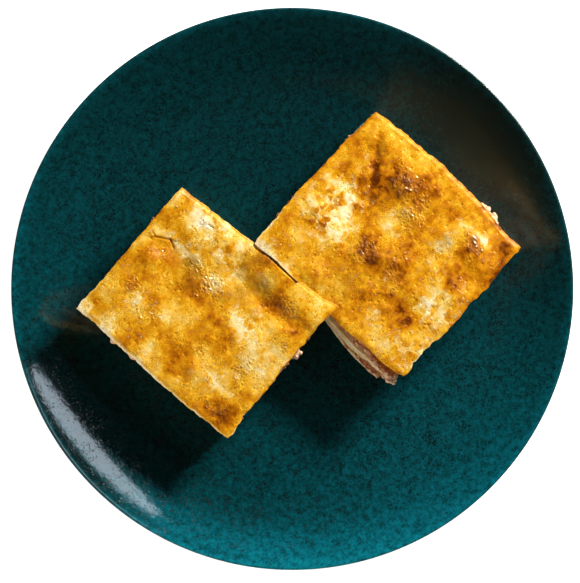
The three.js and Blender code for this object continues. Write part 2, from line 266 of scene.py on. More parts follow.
# %% The right square
RIGHT = {
    "name": "right",
    "corners": {"north": (39.4, 83.5), "west": (-17.1, 22.0),
                "south": (49.3, -42.0), "east": (106.3, 19.2)},
    "bows": {"northWest": 1.2, "southWest": 0, "southEast": 1.9, "northEast": 3.2},
    "belly": {"side": "southWest", "start": 0.5, "reach": 2.2},
    "slump": {"north": (-1, -1), "west": (0.7, 0.7), "south": (-9, -1.4), "east": (-3, -2)},
    "tuck": {},
    "phase": 2.1,
    "seed": 29,
    "trough": None,
    "swells": [(53, 50, 13, 1.3), (27, 45, 12, -0.9), (84, 21, 9, 0.9),
               (38, 14, 12, 0.8), (58, -12, 10, -0.8), (97, 26, 8, -1.0)],
    "dents": [(39, 62, 5, -0.7), (46, 68, 6, 0.6), (80, 6, 6, -0.7), (88, 12, 5, 0.6),
              (30, 30, 9, 0.4), (66, 36, 8, -0.5)],
    "nudges": [((-17, 22), 6, (-1.2, -0.4)), ((49, -42), 9, (2.9, 0.2)),
               ((36, -29), 9, (0.9, 0.9)), ((106, 19), 6, (1.6, 0.1))],
}

# %% Curve of the plate and corners of the layers
SIDES = ("northWest", "southWest", "southEast", "northEast")


def seeded(seed):
    """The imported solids' own random numbers, one after the other."""
    state = seed * 2654435761 % 2 ** 32
    while True:
        state = (state * 1664525 + 1013904223) % 2 ** 32
        yield state / 2 ** 32


def well_height(radius):
    """Height of the plate's upper face: a faint dish, then an even curve up to the rim."""
    dish = WELL_DISH * (np.minimum(radius, WELL_RADIUS) / WELL_RADIUS) ** 2
    bend_run = SLOPE_FULL_RADIUS - WELL_RADIUS
    bend = np.clip(radius - WELL_RADIUS, 0, bend_run)
    bend_rise = SLOPE_START * bend + (SLOPE_FULL - SLOPE_START) * bend ** 2 / (2 * bend_run)
    rim_run = LIP_RADIUS - SLOPE_FULL_RADIUS
    rim = np.maximum(radius - SLOPE_FULL_RADIUS, 0)
    rim_rise = SLOPE_FULL * rim + (SLOPE_LIP - SLOPE_FULL) * rim ** 2 / (2 * rim_run)
    return WELL_HEIGHT + dish + bend_rise + rim_rise


def blend_corners(corners, u, v):
    """u runs from the north corner to the east one, and v from north to west."""
    return [
        (1 - v) * ((1 - u) * corners["north"][axis] + u * corners["east"][axis])
        + v * ((1 - u) * corners["west"][axis] + u * corners["south"][axis])
        for axis in (0, 1)
    ]


def side_direction(corners, side):
    """Direction from the middle of a square to the middle of one of its sides."""
    middle = {"northWest": (0, 0.5), "southWest": (0.5, 1), "southEast": (1, 0.5),
              "northEast": (0.5, 0)}[side]
    centre = blend_corners(corners, 0.5, 0.5)
    there = blend_corners(corners, *middle)
    out = np.array([there[0] - centre[0], there[1] - centre[1]])
    return out / np.hypot(*out)


def sides_at(u, v):
    """For each cut side: its name, how close a place is to it, and how far along."""
    return [("northWest", 1 - u, v), ("southWest", v, u), ("southEast", u, v),
            ("northEast", 1 - v, u)]


def place_at(portion, corners, depth, u, v):
    """A place in a layer: the blend of its corners, moved out where a side bows or bellies."""
    x, y = blend_corners(corners, u, v)
    belly = portion["belly"]
    for side, closeness, along in sides_at(u, v):
        push = portion["bows"][side] * 4 * along * (1 - along)
        if belly and side == belly["side"]:
            share = np.maximum(along - belly["start"], 0) / (1 - belly["start"])
            push = push + depth * belly["reach"] * np.sin(math.pi * share)
        out = side_direction(corners, side)
        x = x + push * closeness * out[0]
        y = y + push * closeness * out[1]
    return x, y


def layer_corners(portion, kind, depth):
    """A layer's corners: the deeper it lies, the further it has slid."""
    corners = {}
    for name, (x, y) in portion["corners"].items():
        slump_x, slump_y = portion["slump"][name]
        tuck_x, tuck_y = portion["tuck"].get(name, (0, 0)) if kind != "crust" else (0, 0)
        corners[name] = (x + depth * slump_x + tuck_x, y + depth * slump_y + tuck_y)
    return corners


print("the rim stands", round(float(well_height(LIP_RADIUS)) - WELL_HEIGHT, 1), "mm over the well")

# %% Levels and relief of the food
# the tongue over the right square: where it starts and where it is full, in mm from that square's
# side for its lower face and its upper one, and along that side
FLAP_REACH, FLAP_FULL = 9, 2
SOFT_FLAP_REACH, SOFT_FLAP_FULL = 19, 3
SOFT_FLAP_THICKNESS, SOFT_FLAP_GAP = 1.25, 0.5
SOFT_FLAP_FROM = (12, 26)
# the gap between the squares: how far it runs, its least width, and how much and how long it wavers
GAP_UNTIL = 28
GAP_LEAST, GAP_WAVER, GAP_WAVE, GAP_SEED = 0.5, 0.75, 4.5, 5


def from_right_side(x, y):
    """Distance along and out from the right square's near left side, and the outward direction."""
    start_x, start_y = RIGHT["corners"]["west"]
    end_x, end_y = RIGHT["corners"]["south"]
    length = math.hypot(end_x - start_x, end_y - start_y)
    along_x, along_y = (end_x - start_x) / length, (end_y - start_y) / length
    along = (x - start_x) * along_x + (y - start_y) * along_y
    out = (x - start_x) * along_y - (y - start_y) * along_x
    return along, out, (along_y, -along_x)


def swell_height(swells, x, y):
    """Rounded rises and hollows."""
    height = np.zeros(np.shape(x))
    for centre_x, centre_y, radius, rise in swells:
        height = height + rise * np.exp(-((x - centre_x) ** 2 + (y - centre_y) ** 2) / radius ** 2)
    return height


def line_distance(start, end, x, y):
    """Distance to a straight line that ends at both points."""
    run = np.subtract(end, start)
    share = ((x - start[0]) * run[0] + (y - start[1]) * run[1]) / np.dot(run, run)
    share = np.clip(share, 0, 1)
    return np.hypot(x - start[0] - share * run[0], y - start[1] - share * run[1])


def relief(portion, x, y):
    """The swells of a browned top, and the trough across the left one."""
    height = swell_height(portion["swells"], x, y)
    if portion["trough"]:
        trough = portion["trough"]
        away = line_distance(trough["start"], trough["end"], x, y) / trough["half_width"]
        height = height - trough["depth"] * np.exp(-away ** 2)
    return height


def top_face(portion, x, y):
    """The even face that the browned top swells from."""
    wave = np.sin(x / WAVE["across_x"] + portion["phase"])
    wave = wave + np.sin(y / WAVE["across_y"] - x / WAVE["slant"] + 2 * portion["phase"])
    return WELL_HEIGHT + CLEARANCE + PORTION_HEIGHT + WAVE["height"] * wave


def level_face(portion, share, x, y):
    """The level at a share of a square's height."""
    rest = well_height(np.hypot(x, y)) + CLEARANCE
    return rest + share * (top_face(portion, x, y) - rest)


def flap_share(x, y, full, reach):
    """1 where the left square's top sheet lies on its neighbour, 0 where it lies on its own."""
    along, out, _ = from_right_side(x, y)
    return (1 - smooth(full, reach, out)) * smooth(*SOFT_FLAP_FROM, along)


def keep_gap(x, y):
    """Moves the left square's edge back to leave a narrow, wavering gap beside its neighbour."""
    along, out, direction = from_right_side(x, y)
    gap = GAP_LEAST + GAP_WAVER * cloud(along, 0 * along, GAP_WAVE, GAP_SEED, 2)
    move = np.where((along < GAP_UNTIL) & (out < gap), gap - out, 0)
    return x + move * direction[0], y + move * direction[1]


def nudged(portion, x, y):
    """Pulls single corners and stretches of a top's edge to where they lie."""
    for (centre_x, centre_y), radius, (move_x, move_y) in portion["nudges"]:
        near = np.exp(-((x - centre_x) ** 2 + (y - centre_y) ** 2) / radius ** 2)
        x, y = x + move_x * near, y + move_y * near
    return x, y


def crust_faces(portion, x, y):
    """Lower and upper face of a browned top."""
    low = level_face(portion, 1 - LAYERS[-1][2] / PORTION_HEIGHT, x, y)
    high = top_face(portion, x, y) + relief(portion, x, y)
    high = high + swell_height(portion["blisters"], x, y)
    if portion["name"] == "left":
        lifted = top_face(RIGHT, x, y) + relief(RIGHT, x, y) + SOFT_FLAP_GAP
        low = low + (lifted - low) * flap_share(x, y, FLAP_FULL, FLAP_REACH)
        share = flap_share(x, y, SOFT_FLAP_FULL, SOFT_FLAP_REACH)
        high = high + (lifted + SOFT_FLAP_THICKNESS - high) * share
    return low, high


print("the squares lie", round(float(well_height(0)) + CLEARANCE, 2), "mm over the table")

# %% Large blisters, as on the solids
BLISTERS = 16
BLISTER_RADIUS = (4, 7)
BLISTER_HEIGHT = (0.4, 1.1)
BLISTER_SPAN = (0.08, 0.92)

for portion in (LEFT, RIGHT):
    random = seeded(portion["seed"])
    portion["blisters"] = []
    for _ in range(BLISTERS):
        shares = [next(random) for _ in range(4)]
        ranges = (BLISTER_SPAN, BLISTER_SPAN, BLISTER_RADIUS, BLISTER_HEIGHT)
        u, v, radius, rise = [low + (high - low) * s for (low, high), s in zip(ranges, shares)]
        x, y = blend_corners(portion["corners"], u, v)
        portion["blisters"].append((x, y, radius, rise))
    print(portion["name"], "first blister", [round(float(n), 2) for n in portion["blisters"][0]])

# %% [markdown]
# ## The plate
#
# A coupe plate is thrown or pressed on a wheel, so its shape is one curve turned about an
# axis: a foot ring, an even wall, a rounded lip and a shallow well. A screw or spin would do
# it too. Here Geometry Nodes turn the curve: a grid has one column for each step of the turn
# and one row for each point of the curve, and every grid point takes its place from the
# curve's point of the same row, turned by its column's share of the circle. Merging by
# distance then closes the seam and the two poles.

# %% Curve that is turned
LIP_STEPS = 9
LIP_FROM = -50
LIP_TOP_ROUND = 0.85
LIP_LEAN = 27.6
RECESS_RADII = (0, 30, 60)
FOOT_WORN, FOOT_BEVEL, FOOT_BEVEL_HEIGHT = 0.6, 0.2, 0.5
# first radius, last radius and number of points
WALL_POINTS = (82, 128, 24)
WELL_POINTS = (84, 0, 22)
SLOPE_END, SLOPE_POINTS = 88, 46
WALL_THINS_FROM, WALL_THINNING = 100, 0.12


def arc_points(middle, size, start, end):
    """Points on a round of the lip, from one angle in degrees to the other."""
    angles = [math.radians(degrees) for degrees in np.linspace(start, end, LIP_STEPS)]
    return [(middle[0] + size * math.cos(angle), middle[1] + size * math.sin(angle))
            for angle in angles]


def plate_profile():
    """Radius and height from the middle of the underside, round the lip, to the middle of the well."""
    points = [(radius, RECESS_HEIGHT) for radius in RECESS_RADII]
    points += [(FOOT_INNER_RADIUS - FOOT_DRAFT, RECESS_HEIGHT),
               (FOOT_INNER_RADIUS - FOOT_BEVEL, FOOT_BEVEL_HEIGHT),
               (FOOT_INNER_RADIUS + FOOT_WORN, 0),
               ((FOOT_INNER_RADIUS + FOOT_OUTER_RADIUS) / 2, 0),
               (FOOT_OUTER_RADIUS - FOOT_WORN, 0),
               (FOOT_OUTER_RADIUS + FOOT_BEVEL, FOOT_BEVEL_HEIGHT),
               (FOOT_OUTER_RADIUS + FOOT_DRAFT, RECESS_HEIGHT)]
    for radius in np.linspace(*WALL_POINTS):
        wall = WALL_AT_FOOT * (1 - WALL_THINNING * smooth(WALL_THINS_FROM, WALL_POINTS[1], radius))
        points.append((radius, max(well_height(radius) - wall, RECESS_HEIGHT)))
    lip_side = (PLATE_RADIUS - LIP_ROUND, well_height(LIP_RADIUS) - LIP_DROP)
    points += arc_points(lip_side, LIP_ROUND, LIP_FROM, 0)
    inner_angle = math.radians(90 + LIP_LEAN)
    meets = PLATE_RADIUS - LIP_TOP_ROUND * (1 - math.cos(inner_angle))
    lip_top = well_height(meets) - LIP_TOP_ROUND * math.sin(inner_angle)
    points += arc_points((PLATE_RADIUS - LIP_TOP_ROUND, lip_top), LIP_TOP_ROUND, 0, 90 + LIP_LEAN)
    inner = [*np.linspace(meets - 0.5, SLOPE_END, SLOPE_POINTS), *np.linspace(*WELL_POINTS)]
    points += [(radius, well_height(radius)) for radius in inner]
    return [(float(radius), float(height)) for radius, height in points]


profile = plate_profile()
print("the curve has", len(profile), "points and ends", round(profile[-1][1], 1), "mm up")

# %% Tools for Geometry Nodes


def add_sockets(tree, inputs):
    """A Geometry Nodes group's sockets: geometry in and out, its named sizes and its material."""
    for name, kind, value in [("Geometry", "NodeSocketGeometry", None), *inputs]:
        socket = tree.interface.new_socket(name, in_out="INPUT", socket_type=kind)
        if value is not None:
            socket.default_value = value
    tree.interface.new_socket("Geometry", in_out="OUTPUT", socket_type="NodeSocketGeometry")


def apply_tree(piece, tree, values, name):
    """Runs a Geometry Nodes tree on a piece and gives the result as a plain mesh object."""
    modifier = piece.modifiers.new("make", "NODES")
    modifier.node_group = tree
    identifiers = {item.name: item.identifier for item in tree.interface.items_tree
                   if item.item_type == "SOCKET" and item.in_out == "INPUT"}
    for key, value in values.items():
        modifier[identifiers[key]] = value
    bpy.context.view_layer.update()
    graph = bpy.context.evaluated_depsgraph_get()
    mesh = bpy.data.meshes.new_from_object(piece.evaluated_get(graph))
    mesh.name = name
    result = bpy.data.objects.new(name, mesh)
    bpy.context.scene.collection.objects.link(result)
    piece.modifiers.remove(modifier)
    bpy.data.objects.remove(piece)
    return result


# %% Tree that turns the curve
PLATE_STEPS = 240


def turning_tree():
    """Turns the curve of the incoming points about the z axis."""
    tree = bpy.data.node_groups.new("turned curve", "GeometryNodeTree")
    add_sockets(tree, [("Steps round", "NodeSocketInt", PLATE_STEPS),
                       ("Curve points", "NodeSocketInt", 2),
                       ("Merge distance", "NodeSocketFloat", 2e-6),
                       ("Glaze", "NodeSocketMaterial", None)])
    entry = add_node(tree, "NodeGroupInput")
    columns = add_node(tree, "ShaderNodeMath", {"operation": "ADD"},
                       {0: entry.outputs["Steps round"], 1: 1.0})
    grid = add_node(tree, "GeometryNodeMeshGrid", None,
                    {"Vertices X": columns.outputs[0], "Vertices Y": entry.outputs["Curve points"]})
    index = add_node(tree, "GeometryNodeInputIndex")
    row = add_node(tree, "ShaderNodeMath", {"operation": "MODULO"},
                   {0: index.outputs[0], 1: entry.outputs["Curve points"]})
    share = add_node(tree, "ShaderNodeMath", {"operation": "DIVIDE"},
                     {0: index.outputs[0], 1: entry.outputs["Curve points"]})
    column = add_node(tree, "ShaderNodeMath", {"operation": "FLOOR"}, {0: share.outputs[0]})
    part = add_node(tree, "ShaderNodeMath", {"operation": "DIVIDE"},
                    {0: column.outputs[0], 1: entry.outputs["Steps round"]})
    angle = add_node(tree, "ShaderNodeMath", {"operation": "MULTIPLY"},
                     {0: part.outputs[0], 1: 2 * math.pi})
    place = add_node(tree, "GeometryNodeInputPosition")
    sample = add_node(tree, "GeometryNodeSampleIndex", {"data_type": "FLOAT_VECTOR"},
                      {"Geometry": entry.outputs["Geometry"], "Value": place.outputs[0],
                       "Index": row.outputs[0]})
    turned = add_node(tree, "ShaderNodeVectorRotate", {"rotation_type": "Z_AXIS"},
                      {"Vector": sample.outputs[0], "Angle": angle.outputs[0]})
    moved = add_node(tree, "GeometryNodeSetPosition", None,
                     {"Geometry": grid.outputs["Mesh"], "Position": turned.outputs[0]})
    merged = add_node(tree, "GeometryNodeMergeByDistance", None,
                      {"Geometry": moved.outputs[0], "Distance": entry.outputs["Merge distance"]})
    realized = add_node(tree, "GeometryNodeRealizeInstances", None, {"Geometry": merged.outputs[0]})
    glazed = add_node(tree, "GeometryNodeSetMaterial", None,
                      {"Geometry": realized.outputs[0], "Material": entry.outputs["Glaze"]})
    add_node(tree, "NodeGroupOutput", None, {"Geometry": glazed.outputs[0]})
    return tree


def recalculate_normals(piece):
    """Points every face outwards once the doubles are merged."""
    sheet = bmesh.new()
    sheet.from_mesh(piece.data)
    bmesh.ops.recalc_face_normals(sheet, faces=sheet.faces)
    sheet.to_mesh(piece.data)
    sheet.free()
    piece.data.shade_smooth()


turning = turning_tree()
print(turning.name, "has", len(turning.nodes), "nodes")

# %% [markdown]
# ## The glaze
#
# The real finish is a glossy stoneware glaze fired over a dark body: deep teal glass in which
# iron flecks have burnt through as black pits of half a millimetre to one and a half. To the
# eye that gives a saturated, near black blue-green with a sharp white sheen on the curve, and
# specks that stay dull inside the sheen. Light and shade are painted on the teal: it is lighter
# towards the near side, the near rim and the lip, and darker to the far right. Silica glass has an IOR
# near 1.5.

# %% Painted light on the glaze, and where it is worn
# the way towards the light, as shares of x and y
LIGHT_X, LIGHT_Y = 0.68, 0.73


def painted_glaze_light(x, y):
    """Painted light and shade on the teal: lighter towards the near side, the near rim and the lip,
    darker to the far right.
    """
    # places are shares of the plate's radius
    across, along = x / PLATE_RADIUS, y / PLATE_RADIUS
    away = np.hypot(across, along)
    painted_lightness = 0.285 - 0.06 * across - 0.15 * along - 0.34 * across * np.minimum(along, 0)
    near_rim = smooth(0.8, 1.0, away) * np.maximum(-along, 0) * smooth(-0.76, -0.44, across)
    painted_lightness = painted_lightness + 0.72 * near_rim * (1 - 1.1 * np.maximum(across, 0))
    painted_lightness = painted_lightness + 0.12 * smooth(0.8, 1.0, away) * np.maximum(along, 0) * (0.5 + across)
    painted_lightness = painted_lightness - 0.6 * np.maximum(across - 0.35, 0) * np.maximum(along, 0)
    #     painted shade: a darker line just inside the lip, on the side away from the light
    near_left = -(LIGHT_X * across + LIGHT_Y * along)
    painted_shade_line = smooth(0.955, 0.965, away) * (1 - smooth(0.982, 0.992, away))
    painted_lightness = painted_lightness - 0.22 * painted_shade_line * smooth(0.75, 0.85, near_left)
    # painted light: the lip is lighter still
    return painted_lightness + 0.2 * smooth(0.96, 1.0, away)


def glaze_wear(x, y):
    """How worn the glaze is: 0 on the polished rim at the near left, 1 towards the far right."""
    return smooth(-0.86, -0.1, (LIGHT_X * x + LIGHT_Y * y) / PLATE_RADIUS)


print("thinness in the middle of the well:", round(float(painted_glaze_light(0, 0)), 3))

# %% Flecks that burnt through the glaze
# spacing in mm, then radius and soft edge as shares of it
SMALL_FLECKS = (1.05, 0.38, 0.24)
LARGE_FLECKS = (2.0, 0.36, 0.3)


def add_flecks(tree, here, gathered, spacing, size, softness):
    """Round dark flecks: how much of one lies at each place, from 0 to 1."""
    cells = add_node(tree, "ShaderNodeTexVoronoi", None, {"Vector": here, "Scale": scale_for(spacing)})
    reach = add_node(tree, "ShaderNodeMath", {"operation": "ADD"},
                     {0: cells.outputs["Distance"], 1: gathered})
    return add_node(tree, "ShaderNodeMapRange", {"interpolation_type": "SMOOTHSTEP"},
                    {0: reach.outputs[0], 1: size - softness, 2: size, 3: 1.0, 4: 0.0})


def fleck_cover(tree, here):
    """The flecks of both sizes. They gather in clouds of some millimetres, and are few on the rim."""
    # fine noise bends the places a little, so no fleck is a true circle
    wander = add_node(tree, "ShaderNodeTexNoise", None,
                      {"Vector": here, "Scale": scale_for(1.1), "Detail": 2.0})
    bent = add_node(tree, "ShaderNodeVectorMath", {"operation": "MULTIPLY_ADD"},
                    {0: wander.outputs[1], 1: (0.0007, 0.0007, 0.0007), 2: here})
    gather = add_node(tree, "ShaderNodeTexNoise", None,
                      {"Vector": here, "Scale": scale_for(7.5), "Detail": 4.0, "Roughness": 0.65})
    # the distance from the plate's axis, in metres, spares the rim
    axes = add_node(tree, "ShaderNodeSeparateXYZ", None, {0: here})
    flat = add_node(tree, "ShaderNodeCombineXYZ", None, {0: axes.outputs[0], 1: axes.outputs[1]})
    radius = add_node(tree, "ShaderNodeVectorMath", {"operation": "LENGTH"}, {0: flat.outputs[0]})
    rim = add_node(tree, "ShaderNodeMapRange", None,
                   {0: radius.outputs["Value"], 1: 0.112, 2: 0.134, 3: 0.4, 4: 0.52})
    spared = add_node(tree, "ShaderNodeMath", {"operation": "MULTIPLY_ADD"},
                      {0: gather.outputs[0], 1: -0.8, 2: rim.outputs[0]})
    small = add_flecks(tree, bent.outputs[0], spared.outputs[0], *SMALL_FLECKS)
    large = add_flecks(tree, bent.outputs[0], spared.outputs[0], *LARGE_FLECKS)
    return add_node(tree, "ShaderNodeMath", {"operation": "MAXIMUM"},
                    {0: small.outputs[0], 1: large.outputs[0]})


for spacing, size, _ in (SMALL_FLECKS, LARGE_FLECKS):
    print("flecks of up to", round(2 * spacing * size, 1), "mm across")

# %% Colour and gloss of the glaze


def teal_colour(tree, here, fleck):
    """Teal that is lighter where light is painted on, mottled, and nearly black in the flecks."""
    painted_lightness = add_node(tree, "ShaderNodeAttribute", {"attribute_name": "thinness"})
    mottle = add_node(tree, "ShaderNodeTexNoise", None,
                      {"Vector": here, "Scale": scale_for(2.8), "Detail": 5.0, "Roughness": 0.85})
    uneven = add_node(tree, "ShaderNodeMapRange", None,
                      {0: mottle.outputs[0], 1: 0.3, 2: 0.7, 3: 0.1, 4: 1.2})
    mottled = add_node(tree, "ShaderNodeMath", {"operation": "MULTIPLY"},
                       {0: uneven.outputs[0], 1: painted_lightness.outputs["Fac"]})
    colour = add_node(tree, "ShaderNodeValToRGB", {"stops": [
        (0.0, "#020a0c"), (0.075, "#031f22"), (0.25, "#043f47"), (0.5, "#065a6a"),
        (0.75, "#086d7f"), (1.0, "#0a7d8f")]}, {0: mottled.outputs[0]})
    covered = add_node(tree, "ShaderNodeMath", {"operation": "MULTIPLY"},
                       {0: fleck.outputs[0], 1: 0.8})
    return add_node(tree, "ShaderNodeMix", {"data_type": "RGBA"},
                    {"Factor": covered.outputs[0], "A": colour.outputs[0],
                     "B": hex_colour("#01090b")})


def glaze_gloss(tree, fleck):
    """Roughness: duller with wear, and in the flecks of the polished rim."""
    wear = add_node(tree, "ShaderNodeAttribute", {"attribute_name": "wear"})
    fired = add_node(tree, "ShaderNodeMapRange", None,
                     {0: fleck.outputs[0], 1: 0.0, 2: 1.0, 3: 0.05, 4: 0.12})
    polish = add_node(tree, "ShaderNodeMath", {"operation": "SUBTRACT"},
                      {0: 1.0, 1: wear.outputs["Fac"]})
    pits = add_node(tree, "ShaderNodeMath", {"operation": "MULTIPLY"},
                    {0: fleck.outputs[0], 1: polish.outputs[0]})
    pitted = add_node(tree, "ShaderNodeMath", {"operation": "MULTIPLY_ADD"},
                      {0: pits.outputs[0], 1: 0.2, 2: fired.outputs[0]})
    return add_node(tree, "ShaderNodeMath", {"operation": "MULTIPLY_ADD"},
                    {0: wear.outputs["Fac"], 1: 0.15, 2: pitted.outputs[0]})


def glaze_material():
    """Speckled teal stoneware glaze, fired glossy."""
    material, tree = new_material("speckled_teal_stoneware_glaze")
    here = add_node(tree, "ShaderNodeTexCoord").outputs["Object"]
    fleck = fleck_cover(tree, here)
    colour = teal_colour(tree, here, fleck)
    gloss = glaze_gloss(tree, fleck)
    # the glass ripples a little, and each fleck is a shallow pit
    ripple = add_node(tree, "ShaderNodeTexNoise", None,
                      {"Vector": here, "Scale": scale_for(3.0), "Detail": 3.0, "Roughness": 0.55})
    height = add_node(tree, "ShaderNodeMath", {"operation": "MULTIPLY_ADD"},
                      {0: fleck.outputs[0], 1: -0.15, 2: ripple.outputs[0]})
    bump = add_node(tree, "ShaderNodeBump", None,
                    {"Strength": 1.0, "Distance": 0.000018, "Height": height.outputs[0]})
    shader = add_node(tree, "ShaderNodeBsdfPrincipled", None,
                      {"Base Color": colour.outputs[2], "Roughness": gloss.outputs[0],
                       "IOR": 1.48, "Normal": bump.outputs[0]})
    finish_material(tree, shader)
    return material


glaze = glaze_material()
print(glaze.name, "has", len(glaze.node_tree.nodes), "nodes")

# %% The glazed plate
curve = make_mesh("plate_curve", [(radius, 0, height) for radius, height in profile], [])
plate = apply_tree(curve, turning, {
    "Steps round": PLATE_STEPS, "Curve points": len(profile), "Merge distance": 2e-6,
    "Glaze": glaze}, "glazed_plate")
recalculate_normals(plate)
places = np.array([vertex.co[:2] for vertex in plate.data.vertices]) / MM
add_attribute(plate, "thinness", painted_glaze_light(*places.T))
add_attribute(plate, "wear", glaze_wear(*places.T))
print("plate:", len(plate.data.vertices), "points,", len(plate.data.polygons), "faces")
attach(plate, "root")
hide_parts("plate")

# %% [markdown]
# ## The browned tops
#
# The top of a lasagna is its last sheet of pasta under a skin of bechamel and cheese. In the
# oven it blisters, browns where it stands high or lies thin, stays creamy where milk pools,
# and fries in its own fat, so it glints. Each top is a fine grid of cells of a third of a
# millimetre that follows the solid's relief, with small blisters, bubbles and wrinkles added.
# Where it is brown, pale, oily or painted with shade is stored on its points, because browning
# follows the relief and the place in the dish, which a pattern alone can't know.

# %% Brown, pale and painted-shade places of the left top
# x, y, radius and strength, in millimetres on the plate: judged spot by spot
# painted shadow: the spots at (-20, 15), (-13, 12) and (-4, 4) darken the top where the right square
# shades it, and the spot at (-49, 3) darkens a hollow
LEFT["brown"] = [
    (-49, 43, 3.3, 0.3), (-52, 37, 3.3, 0.35), (-55, 31, 3.8, 0.25), (-51, 25, 3.3, 0.25),
    (-29, 19, 2.8, 0.45), (-20, 15, 3.8, 0.3), (-13, 12, 5.6, 0.4), (-4, 4, 5.6, 0.5),
    (-67, 20, 4.2, 0.2), (-62, 16, 6.6, 0.3), (-58, 13, 3.8, 0.2), (-47, 1, 5.2, 0.65),
    (-50, 6, 3.8, 0.3), (-16, 1, 4.2, 0.35), (-12, -5, 4.7, 0.45), (-5, -10, 4.7, 0.7),
    (-9, -5, 3.8, 0.4), (4, -17, 4.2, 0.6), (1, -23, 3.8, 0.5), (-1, -28, 3.3, 0.45),
    (-4, -22, 4.7, 0.4), (8, -16, 2.8, 0.4), (-36, -14, 4.2, 0.35), (-32, -22, 3.8, 0.45),
    (-34, -27, 3.8, 0.45), (-41, -23, 2.8, 0.3), (-58, -26, 4.7, 0.4), (-53, -33, 4.7, 0.45),
    (-58, -36, 4.7, 0.4), (-48, -29, 3.8, 0.3), (-60, -45, 3.8, 0.2), (-62, -32, 3.8, 0.25),
    (-41, -43, 2.8, 0.4), (-27, -44, 2.8, 0.4), (-23, -51, 3.3, 0.45), (-34, -58, 5.6, 0.75),
    (-39, -55, 3.8, 0.55), (-30, -61, 3.8, 0.65), (-28, -56, 3.8, 0.5), (-35, -64, 2.8, 0.5),
    (-92, -8, 4.2, 0.35), (-93, -4, 2.8, 0.3), (-69, 5, 4.2, 0.45), (-76, 3, 3.8, 0.35),
    (-65, -5, 3.3, 0.25), (-46, -6, 4.7, 0.3), (-72, 16, 3.8, 0.25), (-77, -24, 4.7, 0.12),
    (-67, -18, 5.6, 0.15), (-81, -5, 3.3, 0.15), (-18, -15, 2.3, 0.25), (-14, -30, 2.8, 0.2),
    (-49, 3, 6, 0.45), (16.5, -12.5, 2.4, 0.8), (-35, -62, 6, 0.2),
]
# painted highlight: the spots at (-45, 12) and (-36, 2) whiten the places where fat glints
LEFT["pale"] = [
    (-43, 38, 3.3, 0.4), (-41, 31, 3.8, 0.65), (-31, 29, 4.2, 0.45), (-40, 23, 4.2, 0.4),
    (-35, 16, 3.8, 0.6), (-22, 21, 3.3, 0.55), (-48, 29, 2.3, 0.25), (-53, 19, 3.3, 0.4),
    (-48, 14, 3.8, 0.35), (-37, 2, 3.8, 0.5), (-27, 5, 3.3, 0.6), (-14, 6, 3.8, 0.4),
    (-22, 8, 2.8, 0.3), (-74, -4, 3.3, 0.6), (-60, -14, 2.8, 0.45), (-85, -14, 4.2, 0.35),
    (-97, -7, 2.3, 0.6), (-100, -9, 2.3, 0.8), (-24, -16, 4.2, 0.7), (-26, -12, 3.3, 0.5),
    (-18, -27, 2.8, 0.7), (-21, -22, 3.3, 0.55), (-14, -12, 3.3, 0.45), (-14, -22, 3.3, 0.4),
    (-47, -41, 3.8, 0.35), (-35, -43, 2.3, 0.6), (-24, -39, 3.8, 0.35), (-20, -33, 5.6, 0.3),
    (-13, -41, 4.7, 0.3), (-31, -49, 2.8, 0.35), (-55, -42, 2.8, 0.3), (-50, 44, 1.4, 0.2),
    (-67, -5, 3.8, 0.25), (-88, -19, 2.8, 0.35), (-79, -10, 3.3, 0.2), (-43, 11, 2.3, 0.45),
    (-3, -36, 3.8, 0.25), (-10, -26, 2.8, 0.2), (-45, 12, 3.4, 0.35), (-36, 2, 4.4, 0.3),
    (-1, -9, 3.2, 0.35),
]
# painted shade: grey-green brown laid on the hollows and on the banks that face away from the lamp
LEFT["olive"] = [
    (-50, 13, 4.2, 0.6), (-54, 18, 2.8, 0.4), (-25, -3, 5.6, 0.5), (-16, 2, 4.7, 0.5),
    (-11, -2, 4.2, 0.45), (-20, 13, 4.7, 0.5), (-14, 15, 3.8, 0.4), (-22, -33, 4.7, 0.2),
    (-38, 2, 4.2, 0.35), (-33, -5, 3.3, 0.35), (-46, 11, 5, 0.4), (-49, 3, 5, 0.35),
]
print("left:", {kind: len(LEFT[kind]) for kind in ("brown", "pale", "olive")}, "places")
